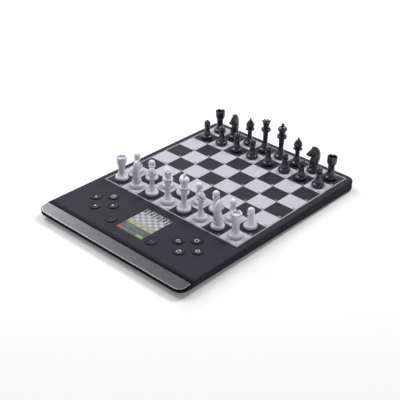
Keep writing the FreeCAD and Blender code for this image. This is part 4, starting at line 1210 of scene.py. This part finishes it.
class CHESS_OT_stage(bpy.types.Operator):
    """Set the pale floor, the lamps and the camera"""

    bl_idname = "chess.stage"
    bl_label = "Stage"

    def execute(self, context):
        looks = context.scene.chess_stage
        self.floor(context)
        for word, (spot, size) in LAMPS.items():
            self.lamp(context, f"{word}_lamp", spot, size, getattr(looks, f"{word}_power"))
        self.sky(context, looks)
        self.camera(context, looks)
        context.scene.view_settings.view_transform = "Standard"
        return {"FINISHED"}

    def floor(self, context):
        """Pale round floor with a raised edge."""
        radius, edge_height = 12.0, 6.0
        bm = bmesh.new()
        bmesh.ops.create_circle(bm, cap_ends=True, radius=radius, segments=96)
        edge = bmesh.ops.extrude_edge_only(bm, edges=[edge for edge in bm.edges if edge.is_boundary])
        bmesh.ops.translate(bm, vec=(0, 0, edge_height), verts=[
            part for part in edge["geom"] if isinstance(part, bmesh.types.BMVert)])
        mesh = bpy.data.meshes.new("floor")
        bm.to_mesh(mesh)
        bm.free()
        mesh.materials.append(self.floor_white())
        floor = bpy.data.objects.new("floor", mesh)
        context.scene.collection.objects.link(floor)

    def floor_white(self):
        """White that keeps shadows near the object, and is plain white to the eye further off."""
        near, fade, near_glow, far_glow = 0.5, 1.5, 0.15, 0.95
        finish = Finish("floor_white", base_color=(0.95, 0.95, 0.95, 1.0), roughness=0.9,
                        specular_ior_level=0.0)
        rays = finish.node("ShaderNodeLightPath", {}, {}, "Is Camera Ray")
        for kind in ("Is Glossy Ray", "Is Transmission Ray"):
            rays = rays.larger(finish.node("ShaderNodeLightPath", {}, {}, kind))
        x, y, _ = finish.axes()
        far = ((x.length_with(y) - near) / fade).clamped()
        share = rays * (near_glow + (far_glow - near_glow) * far)
        glow = finish.node("ShaderNodeEmission", {}, {"Strength": 1.0})
        plain = Wire(finish, finish.shader.outputs[0])
        blend = finish.node("ShaderNodeMixShader", {}, {0: share, 1: plain, 2: glow})
        finish.tree.links.new(blend.socket, finish.tree.nodes["Material Output"].inputs["Surface"])
        return finish.material

    def lamp(self, context, name, spot, size, power):
        """Round soft lamp that points at the middle of the stage."""
        light = bpy.data.lights.new(name, "AREA")
        light.shape = "DISK"
        light.size = size
        light.energy = power
        lamp = bpy.data.objects.new(name, light)
        lamp.location = spot
        lamp.rotation_euler = (-Vector(spot)).to_track_quat("-Z", "Y").to_euler()
        context.scene.collection.objects.link(lamp)

    def sky(self, context, looks):
        """Even white light from all round."""
        world = bpy.data.worlds.new("studio")
        world.use_nodes = True
        background = world.node_tree.nodes["Background"]
        background.inputs["Color"].default_value = (1.0, 1.0, 1.0, 1.0)
        background.inputs["Strength"].default_value = looks.sky
        context.scene.world = world

    def camera(self, context, looks):
        """Camera of the photograph: where it stands, its axes and its small roll."""
        view = bpy.data.cameras.new("camera")
        view.lens = looks.lens
        view.sensor_width = 36.0
        view.clip_start = 0.05
        camera = bpy.data.objects.new("camera", view)
        forward = looks.camera_aim.normalized()
        level = forward.cross(Vector((0, 0, 1))).normalized()
        upright = level.cross(forward)
        turn, rise = math.cos(looks.camera_roll), math.sin(looks.camera_roll)
        right, up = level * turn + upright * rise, upright * turn - level * rise
        axes = Matrix((right, up, -forward)).transposed().to_4x4()
        camera.matrix_world = Matrix.Translation(looks.camera_spot) @ axes
        context.scene.collection.objects.link(camera)
        context.scene.camera = camera


STEPS = [
    CHESS_OT_case, CHESS_OT_front_strip, CHESS_OT_board, CHESS_OT_display, CHESS_OT_buttons,
    CHESS_OT_inner_parts, CHESS_OT_men_plastic, CHESS_OT_pawns, CHESS_OT_rooks, CHESS_OT_knights,
    CHESS_OT_bishops, CHESS_OT_queens, CHESS_OT_kings, CHESS_OT_stage,
]
LOOKS = {
    "chess_console": ConsoleLooks, "chess_board": BoardLooks, "chess_display": DisplayLooks,
    "chess_men": MenLooks, "chess_stage": StageLooks,
}


class CHESS_PT_sidebar(bpy.types.Panel):
    """Steps and looks of the chess computer"""

    bl_idname = "CHESS_PT_sidebar"
    bl_label = "Chess Computer"
    bl_space_type = "VIEW_3D"
    bl_region_type = "UI"
    bl_category = "Chess Computer"

    def draw(self, context):
        for step in STEPS:
            self.layout.operator(step.bl_idname)
        for word, looks in LOOKS.items():
            box = self.layout.box()
            for setting in looks.__annotations__:
                box.prop(getattr(context.scene, word), setting)


def register():
    for kind in [*LOOKS.values(), *STEPS, CHESS_PT_sidebar]:
        bpy.utils.register_class(kind)
    for word, looks in LOOKS.items():
        setattr(bpy.types.Scene, word, PointerProperty(type=looks))


def unregister():
    for word in LOOKS:
        delattr(bpy.types.Scene, word)
    for kind in reversed([*LOOKS.values(), *STEPS, CHESS_PT_sidebar]):
        bpy.utils.unregister_class(kind)


def main():
    register()
    for step in STEPS:
        getattr(bpy.ops.chess, step.bl_idname.split(".")[1])()


if __name__ == "__main__":
    main()
